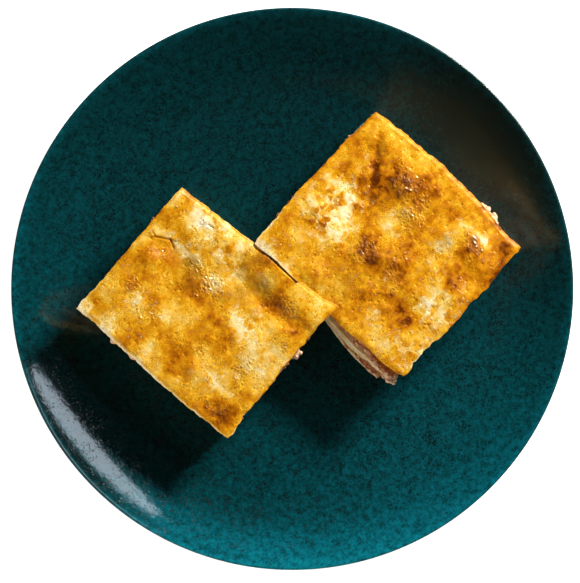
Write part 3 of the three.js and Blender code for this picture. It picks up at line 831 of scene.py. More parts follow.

# %% Brown, pale and painted-shade places of the right top
RIGHT["brown"] = [
    (40, 68, 2.8, 0.3), (40, 59, 2.8, 0.45), (39, 51, 2.8, 0.5), (39, 44, 2.8, 0.3),
    (34, 69, 3.3, 0.35), (30, 70, 2.8, 0.2), (53, 55, 4.7, 0.5), (45, 49, 4.2, 0.45),
    (56, 46, 3.8, 0.55), (53, 50, 3.8, 0.45), (59, 39, 3.8, 0.5), (65, 35, 3.3, 0.4),
    (62, 29, 4.2, 0.55), (69, 25, 3.3, 0.5), (75, 35, 3.3, 0.45), (62, 51, 3.8, 0.3),
    (65, 44, 3.8, 0.3), (37, 31, 3.3, 0.5), (36, 23, 4.2, 0.5), (38, 14, 3.8, 0.55),
    (34, 18, 3.8, 0.45), (37, 36, 2.3, 0.35), (39, 10, 3.3, 0.4), (55, 23, 3.3, 0.45),
    (54, 17, 3.3, 0.45), (49, 9, 6.6, 0.3), (47, -4, 3.3, 0.5), (53, -11, 4.2, 0.45),
    (54, -17, 3.3, 0.5), (34, -17, 2.8, 0.4), (34, -5, 2.8, 0.45), (50, -8, 3.3, 0.4),
    (84, 21, 4.2, 0.7), (80, 16, 2.8, 0.55), (79, 11, 2.3, 0.5), (75, 3, 4.2, 0.6),
    (79, 6, 2.8, 0.45), (72, 0, 2.8, 0.45), (101, 18, 2.3, 0.7), (99, 13, 2.3, 0.7),
    (98, 6, 2.8, 0.7), (94, 2, 2.3, 0.55), (102, 22, 2.8, 0.35), (98, 30, 2.8, 0.3),
    (93, 30, 2.8, 0.25), (-4, 30, 3.3, 0.35), (-1, 36, 3.3, 0.35), (-10, 28, 2.8, 0.25),
    (32, 77, 1.9, 0.4), (21, 18, 5.6, 0.2), (25, -5, 5.6, 0.15), (48, 42, 3.3, 0.3),
    (88, 35, 3.3, 0.15), (39, 25, 2.8, 0.3), (6, 42, 1.9, 0.3), (14, 38, 1.9, 0.3),
    (21, 40, 2.8, 0.5), (21, 50, 2.3, 0.25), (17, 46, 2.3, 0.3), (5, 33, 2.3, 0.35),
    (2, 36, 1.9, 0.25), (8, 31, 2.3, 0.25), (15, 29, 3.8, 0.3), (33, 51, 2.3, 0.3),
    (31, 46, 2.3, 0.35), (25, 58, 2.3, 0.35), (29, 39, 2.3, 0.3), (33, 44, 1.9, 0.3),
    (32, 63, 2.3, 0.25), (22, 56, 1.9, 0.25), (86, 21, 5.4, 0.45), (88, 12, 16, 0.16),
    (94, 22, 9, 0.2), (47, 55, 14, 0.12), (61, 44, 6, 0.3), (52, 13, 12, 0.1),
]
RIGHT["pale"] = [
    (25, 61, 2.3, 0.35), (18, 52, 3.3, 0.55), (25, 50, 3.8, 0.6), (27, 44, 2.8, 0.65),
    (25, 36, 3.8, 0.65), (20, 33, 3.8, 0.6), (23, 28, 2.3, 0.5), (9, 44, 2.3, 0.35),
    (12, 24, 1.9, 0.6), (-14, 20, 3.8, 0.4), (-17, 22, 2.3, 0.5), (-10, 18, 3.8, 0.2),
    (-1, 14, 4.2, 0.3), (30, 56, 2.3, 0.35), (12, 49, 2.3, 0.3), (51, 35, 3.8, 0.4),
    (70, 21, 4.2, 0.6), (73, 24, 2.8, 0.5), (91, 24, 2.3, 0.3), (93, 19, 2.3, 0.35),
    (87, 27, 2.3, 0.35), (44, 4, 1.4, 0.6), (56, 6, 1.4, 0.6), (62, -9, 3.8, 0.5),
    (65, -5, 3.8, 0.4), (70, -11, 4.2, 0.45), (37, -11, 3.3, 0.5), (60, -26, 6.6, 0.35),
    (70, -19, 6.6, 0.35), (67, -1, 4.2, 0.35), (48, -26, 5.6, 0.2), (53, -37, 2.8, 0.5),
    (81, -1, 3.8, 0.3), (88, 13, 3.8, 0.3), (82, -10, 3.8, 0.3), (41, 83, 1.9, 0.6),
    (32, 36, 1.9, 0.2), (3, 23, 2.8, 0.2), (77, 30, 2.3, 0.2), (56, 30, 2.3, 0.25),
]
# painted shade: grey-green brown laid on the hollows and on the banks that face away from the lamp
RIGHT["olive"] = [
    (70, 20, 4.2, 0.5), (73, 24, 3.3, 0.4), (51, 35, 3.3, 0.3), (-14, 19, 3.8, 0.3),
    (48, 46, 3.8, 0.3), (65, 2, 3.8, 0.25), (-6, 21, 3.8, 0.2), (22, 2, 10.3, 0.25),
    (44, 13, 3.8, 0.15),
]
print("right:", {kind: len(RIGHT[kind]) for kind in ("brown", "pale", "olive")}, "places")

# %% Webs of milk, drops of fat and clear gold
# broad places where a web of milk lies between golden bubbles
LEFT["web"] = [(-36, 31, 13, 0.8), (-27, 13, 8, 0.7), (-22, -17, 9, 0.9), (-14, -32, 8, 0.6),
               (-75, -3, 7, 0.7), (-97, -9, 4, 0.9), (-85, -16, 6, 0.5), (-36, -42, 7, 0.6),
               (-66, -30, 6, 0.4), (-47, 16, 6, 0.6), (-60, -12, 6, 0.4), (-27, -50, 5, 0.4)]
RIGHT["web"] = [(23, 43, 12, 0.95), (12, 34, 9, 0.7), (22, 26, 8, 0.8), (-12, 20, 6, 0.35),
                (45, 29, 6, 0.5), (70, 17, 7, 0.6), (71, -11, 12, 0.6), (60, -5, 8, 0.5),
                (92, 21, 5, 0.6), (38, -16, 6, 0.5), (53, -27, 9, 0.5), (68, 8, 6, 0.4),
                (36, 60, 6, 0.4), (28, 6, 7, 0.2)]
# places where fat stands in drops
LEFT["glints"] = [(-45, 12, 5, 0.8), (-36, 2, 6, 0.8), (-2.5, -9, 5, 0.7), (-25, -38, 8, 0.4),
                  (-75, -3, 8, 0.4), (-40, -30, 7, 0.35), (-70, -12, 6, 0.3)]
RIGHT["glints"] = [(57, 37, 9, 0.6), (33, 18, 7, 0.5), (46, 5, 8, 0.5), (84, 21, 6, 0.4),
                   (18, 28, 6, 0.3), (50, 50, 7, 0.5), (66, -16, 8, 0.2)]
# clear golden places, without milk
LEFT["gold"] = [(-30.5, -67.5, 2.6, 0.8), (3, -2, 4, 0.7), (9, -6, 4, 0.8), (15, -10, 4, 0.9),
                (6, -8, 4, 0.4)]
RIGHT["gold"] = [(50, 72, 6, 0.5), (58, 64, 6, 0.5), (68, 54, 6, 0.4), (78, 46, 6, 0.4),
                 (44, 76, 4, 0.4), (4, 6, 5, 0.4), (18, -5, 6, 0.3), (26, -13, 5, 0.4),
                 (84, 8, 5, 0.3), (70, -22, 5, 0.2)]
# how brown the whole top is, and the size of its bubbles of cheese
LEFT["base"], RIGHT["base"] = 0.41, 0.51
LEFT["bubble"], RIGHT["bubble"] = 3.0, 4.5
print("drops of fat gather at", len(LEFT["glints"]) + len(RIGHT["glints"]), "places")

# %% Creases, folds and streaks
# creases, cut into the relief and darkened with painted shade, and streaks: start, end, half width and
# strength
LEFT["creases"] = [((-66, 27), (-64.5, 24.7), 0.5, 0.3), ((-64.5, 24.7), (-57.4, 23.3), 0.5, 0.4),
                   ((-57.4, 23.3), (-56, 19), 0.5, 0.4), ((-39.6, 30), (-37.3, 28.6), 0.5, 0.5)]
RIGHT["creases"] = [((41, 73), (39, 57), 1.8, 0.3), ((39, 57), (38, 48), 2.0, 0.35)]
# folds, higher on the left of the line: start, end and rise
LEFT["folds"] = [((-64.5, 24.5), (-57.4, 23.1), 0.6)]
RIGHT["folds"] = []
LEFT["streaks"] = [((-63, 27.5), (-57, 26), 2.2, 0.9), ((-53.5, 22), (-51, 15), 1.5, 0.8),
                   ((-56, 43), (-54, 46), 2.2, 0.7), ((-44, 36), (-40, 28), 1.8, 0.8),
                   ((-90, -19), (-60, -47), 1.2, 0.8), ((2, -1), (15, -7), 2.2, 0.35)]
RIGHT["streaks"] = [((26, 48), (27, 42), 1.7, 0.5), ((27, 42), (22, 27), 1.7, 0.5),
                    ((-16, 21), (-4, 10), 1.7, 0.6), ((77, 33), (92, 22), 1.2, 0.5)]


def spread(spots, x, y):
    """How much the spots of one kind add up to at each place."""
    total = np.zeros(np.shape(x))
    for centre_x, centre_y, radius, strength in spots:
        reach = np.hypot(x - centre_x, y - centre_y) / radius
        total = total + strength * np.exp(-reach ** 2.6)
    return total


def streaked(lines, x, y):
    """How much the streaks of one kind add up to at each place."""
    total = np.zeros(np.shape(x))
    for start, end, half_width, strength in lines:
        total = total + strength * np.exp(-(line_distance(start, end, x, y) / half_width) ** 2)
    return total


print("the left top's middle is brown by", round(float(spread(LEFT["brown"], -40, -10)), 2))

# %% Points of a top seen from above
CRUST_CELL = 0.33
# how far in from a side its raggedness reaches, and how far from a corner its wear reaches
RAGGED_REACH = 2.2
WORN_REACH = 2.6


def side_length(corners, one, other):
    """Distance between two corners."""
    return math.dist(corners[one], corners[other])


def edge_lean(run):
    """How far the right top's cut edge leans out below its upper line, beside the left square."""
    return -0.1 - 0.5 * smooth(GAP_UNTIL, 2 * GAP_UNTIL, run)


def crust_plan(portion):
    """The points of a top seen from above, with ragged, bowed sides and worn corners."""
    corners = portion["corners"]
    across = side_length(corners, "north", "east")
    deep = side_length(corners, "north", "west")
    columns, rows = round(across / CRUST_CELL), round(deep / CRUST_CELL)
    u, v = np.meshgrid(np.linspace(0, 1, columns + 1), np.linspace(0, 1, rows + 1), indexing="ij")
    x, y = place_at(portion, corners, 0, u, v)
    plain_x, plain_y = x.copy(), y.copy()
    inside = np.full(x.shape, np.inf)
    for number, (side, closeness, along) in enumerate(sides_at(u, v)):
        out = side_direction(corners, side)
        width = across if side in ("southEast", "northWest") else deep
        length = deep if side in ("southEast", "northWest") else across
        away = (1 - closeness) * width
        run = along * length
        seed = portion["seed"] + number * 7
        broad = cloud(run, run * 0, 13, seed, 2) - 0.5
        fine = cloud(run, run * 0 + 5, 2.4, seed + 1, 2) - 0.5
        torn = 1.5 if side == "southEast" else 1
        push = torn * (1.7 * broad + 0.9 * fine) * np.exp(-(away / RAGGED_REACH) ** 2)
        if portion["name"] == "right" and side == "southWest":
            push = push * 0.35 - edge_lean(run) * np.exp(-(away / 3) ** 2)
        x = x + push * out[0]
        y = y + push * out[1]
        inside = np.minimum(inside, away)
    centre = blend_corners(corners, 0.5, 0.5)
    for corner_x, corner_y in corners.values():
        away = (plain_x - corner_x) ** 2 + (plain_y - corner_y) ** 2
        near = np.exp(-away / WORN_REACH ** 2)
        pull = np.array([centre[0] - corner_x, centre[1] - corner_y])
        pull = pull / np.hypot(*pull)
        worn = 1.4 if (corner_x, corner_y) == RIGHT["corners"]["south"] else 0.5
        x = x + worn * near * pull[0]
        y = y + worn * near * pull[1]
    x, y = nudged(portion, x, y)
    if portion["name"] == "left":
        x, y = keep_gap(x, y)
    return x, y, inside


for portion in (LEFT, RIGHT):
    print(portion["name"], "grid:", " by ".join(map(str, crust_plan(portion)[0].shape)), "points")

# %% Colour shares of a top


def open_side(x, y):
    """1 near the part of the right square's cut side that the left square leaves open."""
    along, out, _ = from_right_side(x, y)
    return smooth(44, 50, along) * (1 - smooth(4, 7, abs(out)))


def crust_shares(portion, x, y, inside):
    """Browning, milk, painted shade and oil at each place, from 0 to 1."""
    seed = portion["seed"]
    # the spots are read at places that a cloud has shifted, so none is round
    warp_x = x + 4.6 * (cloud(x, y, 4.2, seed + 40, 3) - 0.5)
    warp_y = y + 4.6 * (cloud(x, y, 4.2, seed + 41, 3) - 0.5)
    brown = 1 - np.exp(-1.1 * spread(portion["brown"], warp_x, warp_y))
    pale = spread(portion["pale"], warp_x, warp_y) + streaked(portion["streaks"], warp_x, warp_y)
    web = np.clip(spread(portion["web"], warp_x, warp_y), 0, 1)
    olive = spread(portion["olive"], warp_x, warp_y)
    gold = spread(portion["gold"], warp_x, warp_y)
    patches = cloud(x, y, 9, seed + 50, 3) - 0.5
    small = cloud(x, y, 2.2, seed + 51, 3) - 0.5
    tiny = cloud(x, y, 1.3, seed + 54, 2) - 0.5
    vein = 1 - smooth(0, 0.09, abs(cloud(warp_x, warp_y, 6, seed + 53, 3) - 0.5))
    # bubbles of cheese turn gold and leave a web of milk between them
    bubble, luck = pebbles(warp_x, warp_y, portion["bubble"], seed + 52)
    island = (1 - smooth(0.26, 0.5, bubble)) * (luck > 0.25)
    browning = portion["base"] + 0.6 * brown + 0.6 * patches + 0.5 * small + 0.25 * tiny
    browning = browning + web * (0.2 * island - 0.2) - 0.2 * pale - 0.15 * gold
    # painted shade: the creases are darkened in colour, as the shadow of their step
    browning = browning + 0.5 * streaked(portion["creases"], x, y)
    milk = 0.65 * pale + web * (0.5 - 0.6 * island + 0.2 * vein)
    milk = milk - 0.9 * np.minimum(patches, 0) + 0.7 * small + 0.5 * tiny - 0.5 * brown - 0.8 * gold
    # the edge is pale where it faces the near left, and darker elsewhere
    edge = np.exp(-(inside / 0.8) ** 2)
    middle = sum(blend_corners(portion["corners"], 0.5, 0.5))
    facing = smooth(0.1, 0.9, (middle - x - y) / 60)
    if portion["name"] == "right":
        facing = facing * (1 - open_side(x, y))
    milk = milk + edge * (0.8 * facing - 0.1) * (0.45 + cloud(x, y, 5, seed + 60))
    browning = browning + edge * (0.14 - 0.3 * facing)
    # fat gathers on brown places and where it stands in drops, not at the edge
    oil = 0.08 + 0.5 * brown + 1.1 * (cloud(x, y, 5, seed + 61, 2) - 0.5)
    oil = (oil + 1.2 * spread(portion["glints"], x, y)) * smooth(0, 2.5, inside)
    return [np.clip(share, 0, most) for share, most in
            ((browning, 1), (milk, 1.4), (olive, 1), (oil, 1))]


shares = crust_shares(LEFT, np.array([-40.0]), np.array([-10.0]), np.array([30.0]))
print("browning, milk, olive and oil there:", [round(float(share[0]), 2) for share in shares])

# %% Relief of a top
# bubbles and drops: cell, radius in cells, rise
DOMES = ((2.1, 0.31, 0.34), (1.3, 0.42, 0.32))
# the solids end just above this level, so nothing rises over it
HIGHEST = 44.3


def crust_relief(portion, x, y, inside, shares):
    """Small blisters, bubbles, wrinkles and grain on top of the solid's relief."""
    seed = portion["seed"]
    browning, _, _, oil = shares
    calm = smooth(0, 3, inside)
    height = swell_height(portion["dents"], x, y)
    height = height + 0.8 * (cloud(x, y, 5.5, seed + 74, 3) - 0.5)
    wrinkle = cloud(x + 0.6 * y, 3 * (y - 0.6 * x), 6, seed + 73, 2) - 0.5
    height = height + 0.3 * wrinkle + 0.3 * (browning - 0.5) * calm
    # drops and bubbles where fat stands, steep enough at their sides to catch the lamp
    bent_x = x + 1.2 * (cloud(x, y, 1.9, seed + 75, 2) - 0.5)
    bent_y = y + 1.2 * (cloud(x, y, 1.9, seed + 76, 2) - 0.5)
    for number, (cell, share, rise) in enumerate(DOMES):
        away, luck = pebbles(bent_x + 17 * number, bent_y - 9 * number, cell, seed + 70 + number)
        dome = np.clip(1 - (away / share) ** 2, 0, 1) ** 1.5
        height = height + rise * dome * calm * smooth(0, 0.15, 1.9 * (oil - 0.36) - luck)
    # pits where bubbles burst
    away, luck = pebbles(x - 31, y + 13, 3.4, seed + 78)
    height = height - 0.3 * (1 - smooth(0.1, 0.22, away)) * (luck > 0.72) * calm
    for start, end, half_width, strength in portion["creases"]:
        height = height - 1.5 * strength * np.exp(-(line_distance(start, end, x, y) / half_width) ** 2)
    for start, end, rise in portion["folds"]:
        run = np.subtract(end, start)
        left_of = (run[0] * (y - start[1]) - run[1] * (x - start[0])) / np.hypot(*run)
        near = np.exp(-(line_distance(start, end, x, y) / 4) ** 2)
        height = height + rise * smooth(-0.35, 0.35, left_of) * near
    if portion["name"] == "right":
        along, out, _ = from_right_side(x, y)
        under_flap = smooth(-14, -9, out) * smooth(8, 16, along) * (1 - smooth(54, 60, along))
        height = height * (1 - under_flap) + np.minimum(height, 0.1) * under_flap
    return height


def top_levels(portion, x, y, inside, shares):
    """Lower and upper level of a top, whose skin droops a little over the cut edge."""
    low, high = crust_faces(portion, x, y)
    top = high + crust_relief(portion, x, y, inside, shares)
    droop = 0.6 * (1 - smooth(0, 2.2, inside))
    if portion["name"] == "right":
        along, out, _ = from_right_side(x, y)
        droop = droop * (1 - 0.85 * (1 - smooth(25, 35, along)) * (1 - smooth(3, 5, abs(out))))
    return low, np.minimum(top - droop, HIGHEST)


print("the drops of fat are up to", round(2 * DOMES[0][0] * DOMES[0][1], 1), "mm wide")

# %% Rings under a top and up its cut edge
UNDERSIDE_RINGS = (0.25, 0.6, 0.88, 0.97)
# browning, milk, painted shade and oil of the underside
UNDERSIDE_SHARES = (0.2, 0.6, 0.1, 0.2)
CUT_EDGE_ROWS = (0.0, 0.12, 0.3, 0.5, 0.7, 0.86)


def grid_border(columns, rows):
    """Index pairs round the grid, counterclockwise seen from above."""
    border = [(0, step) for step in range(rows)]
    border += [(step, rows) for step in range(columns)]
    border += [(columns, step) for step in range(rows, 0, -1)]
    border += [(step, 0) for step in range(columns, 0, -1)]
    return np.array(border)


def joined_rings(first, rings, count):
    """Faces between rings of the same number of points, from the underside outwards and up."""
    faces = []
    step = np.arange(count)
    after = (step + 1) % count
    for start, end in zip(rings[:-1], rings[1:]):
        quads = np.stack([start[step], start[after], end[after], end[step]], 1)
        faces += quads.tolist()
    middle = np.full(count, first)
    faces += np.stack([middle, rings[0][after], rings[0][step]], 1).tolist()
    return faces


def underside_rings(portion, edge, centre):
    """Rings of points below a top, from its middle outwards."""
    rings = []
    for share in UNDERSIDE_RINGS:
        ring = np.array(centre) + (edge[:, :2] - centre) * share
        under, _ = crust_faces(portion, ring[:, 0], ring[:, 1])
        rings.append(np.column_stack([ring, under]))
    return rings


def side_lean(portion, border):
    """How far each point of the right top's border leans out below its upper line."""
    columns, rows = border.max(0)
    on_side = (border[:, 1] == rows) & (border[:, 0] < columns)
    along = border[:, 0] / columns * side_length(portion["corners"], "north", "east")
    return np.where(on_side, edge_lean(along), 0)


def cut_edge_rings(portion, border, edge, edge_low, outward):
    """Rings of points up a top's cut edge from its foot, and their colour shares."""
    run = np.cumsum(np.hypot(*(np.roll(edge[:, :2], -1, 0) - edge[:, :2]).T))
    facing = smooth(0.2, 0.8, -(outward[:, 0] + outward[:, 1]) / math.sqrt(2))
    lit = smooth(0.2, 0.8, (outward[:, 0] + outward[:, 1]) / math.sqrt(2))
    lean, shut = np.zeros(len(edge)), np.zeros(len(edge))
    if portion["name"] == "right":
        lean, shut = side_lean(portion, border), open_side(*edge[:, :2].T)
    rings, stored = [], []
    for share in CUT_EDGE_ROWS:
        z = edge_low + (edge[:, 2] - edge_low) * share
        layer = cloud(run, z * 2.2, 2.2, portion["seed"] + 80, 2) - 0.5
        out = 0.2 * math.sin(math.pi * min(share + 0.15, 1)) + 0.5 * layer + lean * (1 - share ** 2)
        spot = edge[:, :2] + outward * np.reshape(out, (-1, 1))
        if portion["name"] == "left":
            spot = np.column_stack(keep_gap(*spot.T))
        rings.append(np.column_stack([spot, z]))
        tone = cloud(run, z, 3, portion["seed"] + 81, 2)
        browning = 0.72 - 0.55 * facing - 0.35 * lit + 0.2 * tone
        milk = (0.25 + 0.75 * facing + 0.4 * lit) * (1 - shut) - 0.35 * tone
        stored.append(np.column_stack([browning, milk, 0.1 + 0 * tone, 0 * tone]))
    return rings, stored


print(len(UNDERSIDE_RINGS), "rings below a top and", len(CUT_EDGE_ROWS), "up its edge")

# %% A top as one closed skin


def make_crust(portion):
    """A browned top as one closed skin: fine grid above, cut edge, plain underside."""
    x, y, inside = crust_plan(portion)
    shares = crust_shares(portion, x, y, inside)
    low, top = top_levels(portion, x, y, inside, shares)
    # the upper face: four points of the grid to each of its faces
    grid = np.stack([x, y, top], -1).reshape(-1, 3)
    at = np.arange(x.size).reshape(x.shape)
    quads = np.stack([at[:-1, :-1], at[:-1, 1:], at[1:, 1:], at[1:, :-1]], -1).reshape(-1, 4)
    # the border's points, and the way out from the middle at each
    border = grid_border(x.shape[0] - 1, x.shape[1] - 1)
    rim = at[border[:, 0], border[:, 1]]
    edge = grid[rim]
    centre = blend_corners(portion["corners"], 0.5, 0.5)
    outward = edge[:, :2] - centre
    outward /= np.hypot(outward[:, 0], outward[:, 1])[:, None]
    under = underside_rings(portion, edge, centre)
    edge_low = low[border[:, 0], border[:, 1]]
    cut, cut_shares = cut_edge_rings(portion, border, edge, edge_low, outward)
    centre_low, _ = crust_faces(portion, *np.array(centre))
    points = [grid, *under, *cut, [[*centre, centre_low]]]
    stored = [np.stack([share.ravel() for share in shares], -1),
              *[np.tile(UNDERSIDE_SHARES, (len(ring), 1)) for ring in under],
              *cut_shares, [UNDERSIDE_SHARES]]
    # the rings join the underside's middle point, which comes last, to the border
    last = x.size + len(rim) * (len(under) + len(cut))
    loops = [*np.arange(x.size, last).reshape(-1, len(rim)), rim]
    faces = quads.tolist() + joined_rings(last, loops, len(rim))
    piece = make_mesh(f"{portion['name']}_browned_top", np.concatenate(points), faces)
    for column, name in enumerate(("browning", "milk", "olive", "oil")):
        add_attribute(piece, name, np.concatenate(stored)[:, column])
    print(piece.name, len(piece.data.vertices), "points", len(piece.data.polygons), "faces,",
          "highest", round(float(top.max()), 2), "mm")
    return piece


tops = {portion["name"]: make_crust(portion) for portion in (LEFT, RIGHT)}

# %% [markdown]
# ## The baked skin
#
# Baked bechamel and cheese is a fat-rich, slightly translucent skin: light enters it a
# fraction of a millimetre and comes back warmer, and frying fat leaves a thin uneven gloss on
# the brown parts. Browning goes from cream through yellow and orange to burnt sugar brown.
# The colour ramp gives those steps, fine noise breaks them up, and small bubbles in the
# relief catch the lamp as glints; fine light and dark painted on adds sparkle and tiny shade.
# Fat and browned protein have an IOR near 1.46.

# %% Colours of the crust


def baked_colour(tree, here):
    """Cream to burnt sugar, by the stored browning that fine noise breaks up."""
    browning = add_node(tree, "ShaderNodeAttribute", {"attribute_name": "browning"})
    fine = add_node(tree, "ShaderNodeTexNoise", None,
                    {"Vector": here, "Scale": scale_for(1.2), "Detail": 6.0, "Roughness": 0.7})
    broken = add_node(tree, "ShaderNodeMath", {"operation": "MULTIPLY_ADD"},
                      {0: fine.outputs[0], 1: 0.08, 2: browning.outputs["Fac"]})
    level = add_node(tree, "ShaderNodeMath", {"operation": "SUBTRACT"},
                     {0: broken.outputs[0], 1: 0.04})
    return add_node(tree, "ShaderNodeValToRGB", {"stops": [
        (0.0, "#f9dc8c"), (0.15, "#f6ca5c"), (0.32, "#ecb42c"), (0.5, "#dc9a12"),
        (0.68, "#c67d0a"), (0.82, "#aa6205"), (0.92, "#884603"), (1.0, "#683003")]},
        {0: level.outputs[0]})


def milky_colour(tree, here, baked):
    """Milk over the baked colour, palest where it lies thick, with shade painted on in grey-green
    brown.
    """
    milk = add_node(tree, "ShaderNodeAttribute", {"attribute_name": "milk"})
    patch = add_node(tree, "ShaderNodeTexNoise", None,
                     {"Vector": here, "Scale": scale_for(3.3), "Detail": 5.0, "Roughness": 0.65})
    milky = add_node(tree, "ShaderNodeMath", {"operation": "MULTIPLY_ADD"},
                     {0: patch.outputs[0], 1: 0.65, 2: milk.outputs["Fac"]})
    poured = add_node(tree, "ShaderNodeMapRange", {"interpolation_type": "SMOOTHSTEP"},
                      {0: milky.outputs[0], 1: 0.46, 2: 1.16, 3: 0.0, 4: 0.92})
    thick = add_node(tree, "ShaderNodeMapRange", None, {0: milky.outputs[0], 1: 0.7, 2: 1.55})
    cream = add_node(tree, "ShaderNodeValToRGB", {"stops": [
        (0.0, "#fadd88"), (0.5, "#fde7a8"), (1.0, "#fff3d2")]}, {0: thick.outputs[0]})
    creamy = add_node(tree, "ShaderNodeMix", {"data_type": "RGBA"},
                      {"Factor": poured.outputs[0], "A": baked.outputs[0],
                       "B": cream.outputs[0]})
    # painted shade: a grey-green brown mixed in where the stored share says
    olive = add_node(tree, "ShaderNodeAttribute", {"attribute_name": "olive"})
    shade = add_node(tree, "ShaderNodeMapRange", None,
                     {0: olive.outputs["Fac"], 1: 0.0, 2: 1.0, 3: 0.0, 4: 0.85})
    return add_node(tree, "ShaderNodeMix", {"data_type": "RGBA"},
                    {"Factor": shade.outputs[0], "A": creamy.outputs[2],
                     "B": hex_colour("#7d5a14")})


def speckled_with_painted_sparkle(tree, here, colour):
    """Fine light and dark at random, gathered in clouds: partly the skin's own grain, partly painted
    sparkle and tiny shade.
    """
    speck = add_node(tree, "ShaderNodeTexNoise", None,
                     {"Vector": here, "Scale": scale_for(0.67), "Detail": 3.0, "Roughness": 0.75})
    contrast = add_node(tree, "ShaderNodeMapRange", None,
                        {0: speck.outputs[0], 1: 0.32, 2: 0.68, 3: -0.44, 4: 0.44})
    crowd = add_node(tree, "ShaderNodeTexNoise", None,
                     {"Vector": here, "Scale": scale_for(7.0), "Detail": 2.0})
    strength = add_node(tree, "ShaderNodeMapRange", None,
                        {0: crowd.outputs[0], 1: 0.35, 2: 0.65, 3: 0.25, 4: 1.45})
    light = add_node(tree, "ShaderNodeMath", {"operation": "MULTIPLY_ADD"},
                     {0: contrast.outputs[0], 1: strength.outputs[0], 2: 1.0})
    return add_node(tree, "ShaderNodeVectorMath", {"operation": "SCALE"},
                    {0: colour.outputs[2], "Scale": light.outputs[0]})


print("a deep brown of the crust to a shader:", [round(c, 3) for c in hex_colour("#884603")[:3]])

# %% Browned bechamel crust


def crust_material():
    """Bechamel and cheese, baked until browned and blistered."""
    material, tree = new_material("baked_bechamel_and_cheese_crust")
    here = add_node(tree, "ShaderNodeTexCoord").outputs["Object"]
    shaded = milky_colour(tree, here, baked_colour(tree, here))
    toned = speckled_with_painted_sparkle(tree, here, shaded)
    # fat makes the skin smoother, sizzling in fine bubbles, with a glossy film where it stands
    oil = add_node(tree, "ShaderNodeAttribute", {"attribute_name": "oil"})
    rough = add_node(tree, "ShaderNodeMapRange", None,
                     {0: oil.outputs["Fac"], 1: 0.0, 2: 1.0, 3: 0.38, 4: 0.24})
    grain = add_node(tree, "ShaderNodeTexNoise", None,
                     {"Vector": here, "Scale": scale_for(0.75), "Detail": 4.0, "Roughness": 0.65})
    sizzle = add_node(tree, "ShaderNodeMapRange", None,
                      {0: oil.outputs["Fac"], 1: 0.45, 2: 0.8, 3: 0.2, 4: 1.0})
    bump = add_node(tree, "ShaderNodeBump", None,
                    {"Strength": sizzle.outputs[0], "Distance": 0.0006, "Height": grain.outputs[0]})
    film = add_node(tree, "ShaderNodeMapRange", None,
                    {0: oil.outputs["Fac"], 1: 0.3, 2: 0.65, 3: 0.0, 4: 1.0})
    shader = add_node(tree, "ShaderNodeBsdfPrincipled", None,
                      {"Base Color": toned.outputs[0], "Roughness": rough.outputs[0],
                       "IOR": 1.46, "Specular IOR Level": 0.4,
                       "Specular Tint": (1.0, 0.8, 0.42, 1.0),
                       "Coat Weight": film.outputs[0], "Coat Roughness": 0.12,
                       "Subsurface Weight": 0.06, "Subsurface Scale": 0.0008,
                       "Subsurface Radius": (1.0, 0.5, 0.2), "Normal": bump.outputs[0]})
    finish_material(tree, shader)
    return material


crust_skin = crust_material()
for name, top_piece in tops.items():
    top_piece.data.materials.append(crust_skin)
    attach(top_piece, "root")
    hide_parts(f"{name}_top_sheet")
print(crust_skin.name, "has", len(crust_skin.node_tree.nodes), "nodes")

# %% [markdown]
# ## The layers at the cut
#
# A knife through a baked lasagna leaves soft, uneven edges. The pasta sheets keep a thin pale
# edge that waves a little, the bechamel bulges out past them, and the meat sauce breaks into
# crumbs. Each layer is built like its solid, a slab between two levels, but with a cut edge of
# points six tenths of a millimetre apart. Rings towards the middle close it above and below.

# %% How each layer was cut
# how far the edge stands out, how ragged and rough it is, how much it bulges between its
# neighbours, and how much further it bulges at the open cut side; then the rows of its points
KINDS = {
    "pasta": {"offset": 0.1, "ragged": 0.55, "rough": 0.25, "bulge": 0.25, "open_bulge": 0.9,
              "rows": (0.0, 0.15, 0.5, 0.85, 1.0)},
    "bechamel": {"offset": 0.2, "ragged": 0.8, "rough": 0.3, "bulge": 0.6, "open_bulge": 2.0,
                 "rows": (0.0, 0.12, 0.35, 0.6, 0.85, 1.0)},
    "meat": {"offset": -1.5, "ragged": 0.9, "rough": 1.3, "bulge": 0.5, "open_bulge": 0.0,
             "rows": (0.0, 0.1, 0.25, 0.4, 0.55, 0.7, 0.85, 1.0)},
}
# how far each layer of the right square stands out at its open cut side, far and near end
STAGGER = {"upper_meat": (-1.5, 0.2), "upper_sheet": (0.9, 0.4), "middle_meat": (-1.6, 0.3),
           "bechamel": (-0.7, -1.6), "lower_sheet": (-0.5, -1.4), "lower_meat": (-2.0, -0.5),
           "bottom_sheet": (-1.0, -0.6)}
# parts of that side: where the left square no longer covers it, and its near end
OPEN_FROM, NEAR_END = (0.5, 0.58), (0.72, 0.9)
print("the layer that stands out most there:", max(STAGGER, key=STAGGER.get))

# %% Cut edge of a layer
EDGE_STEP = 0.6


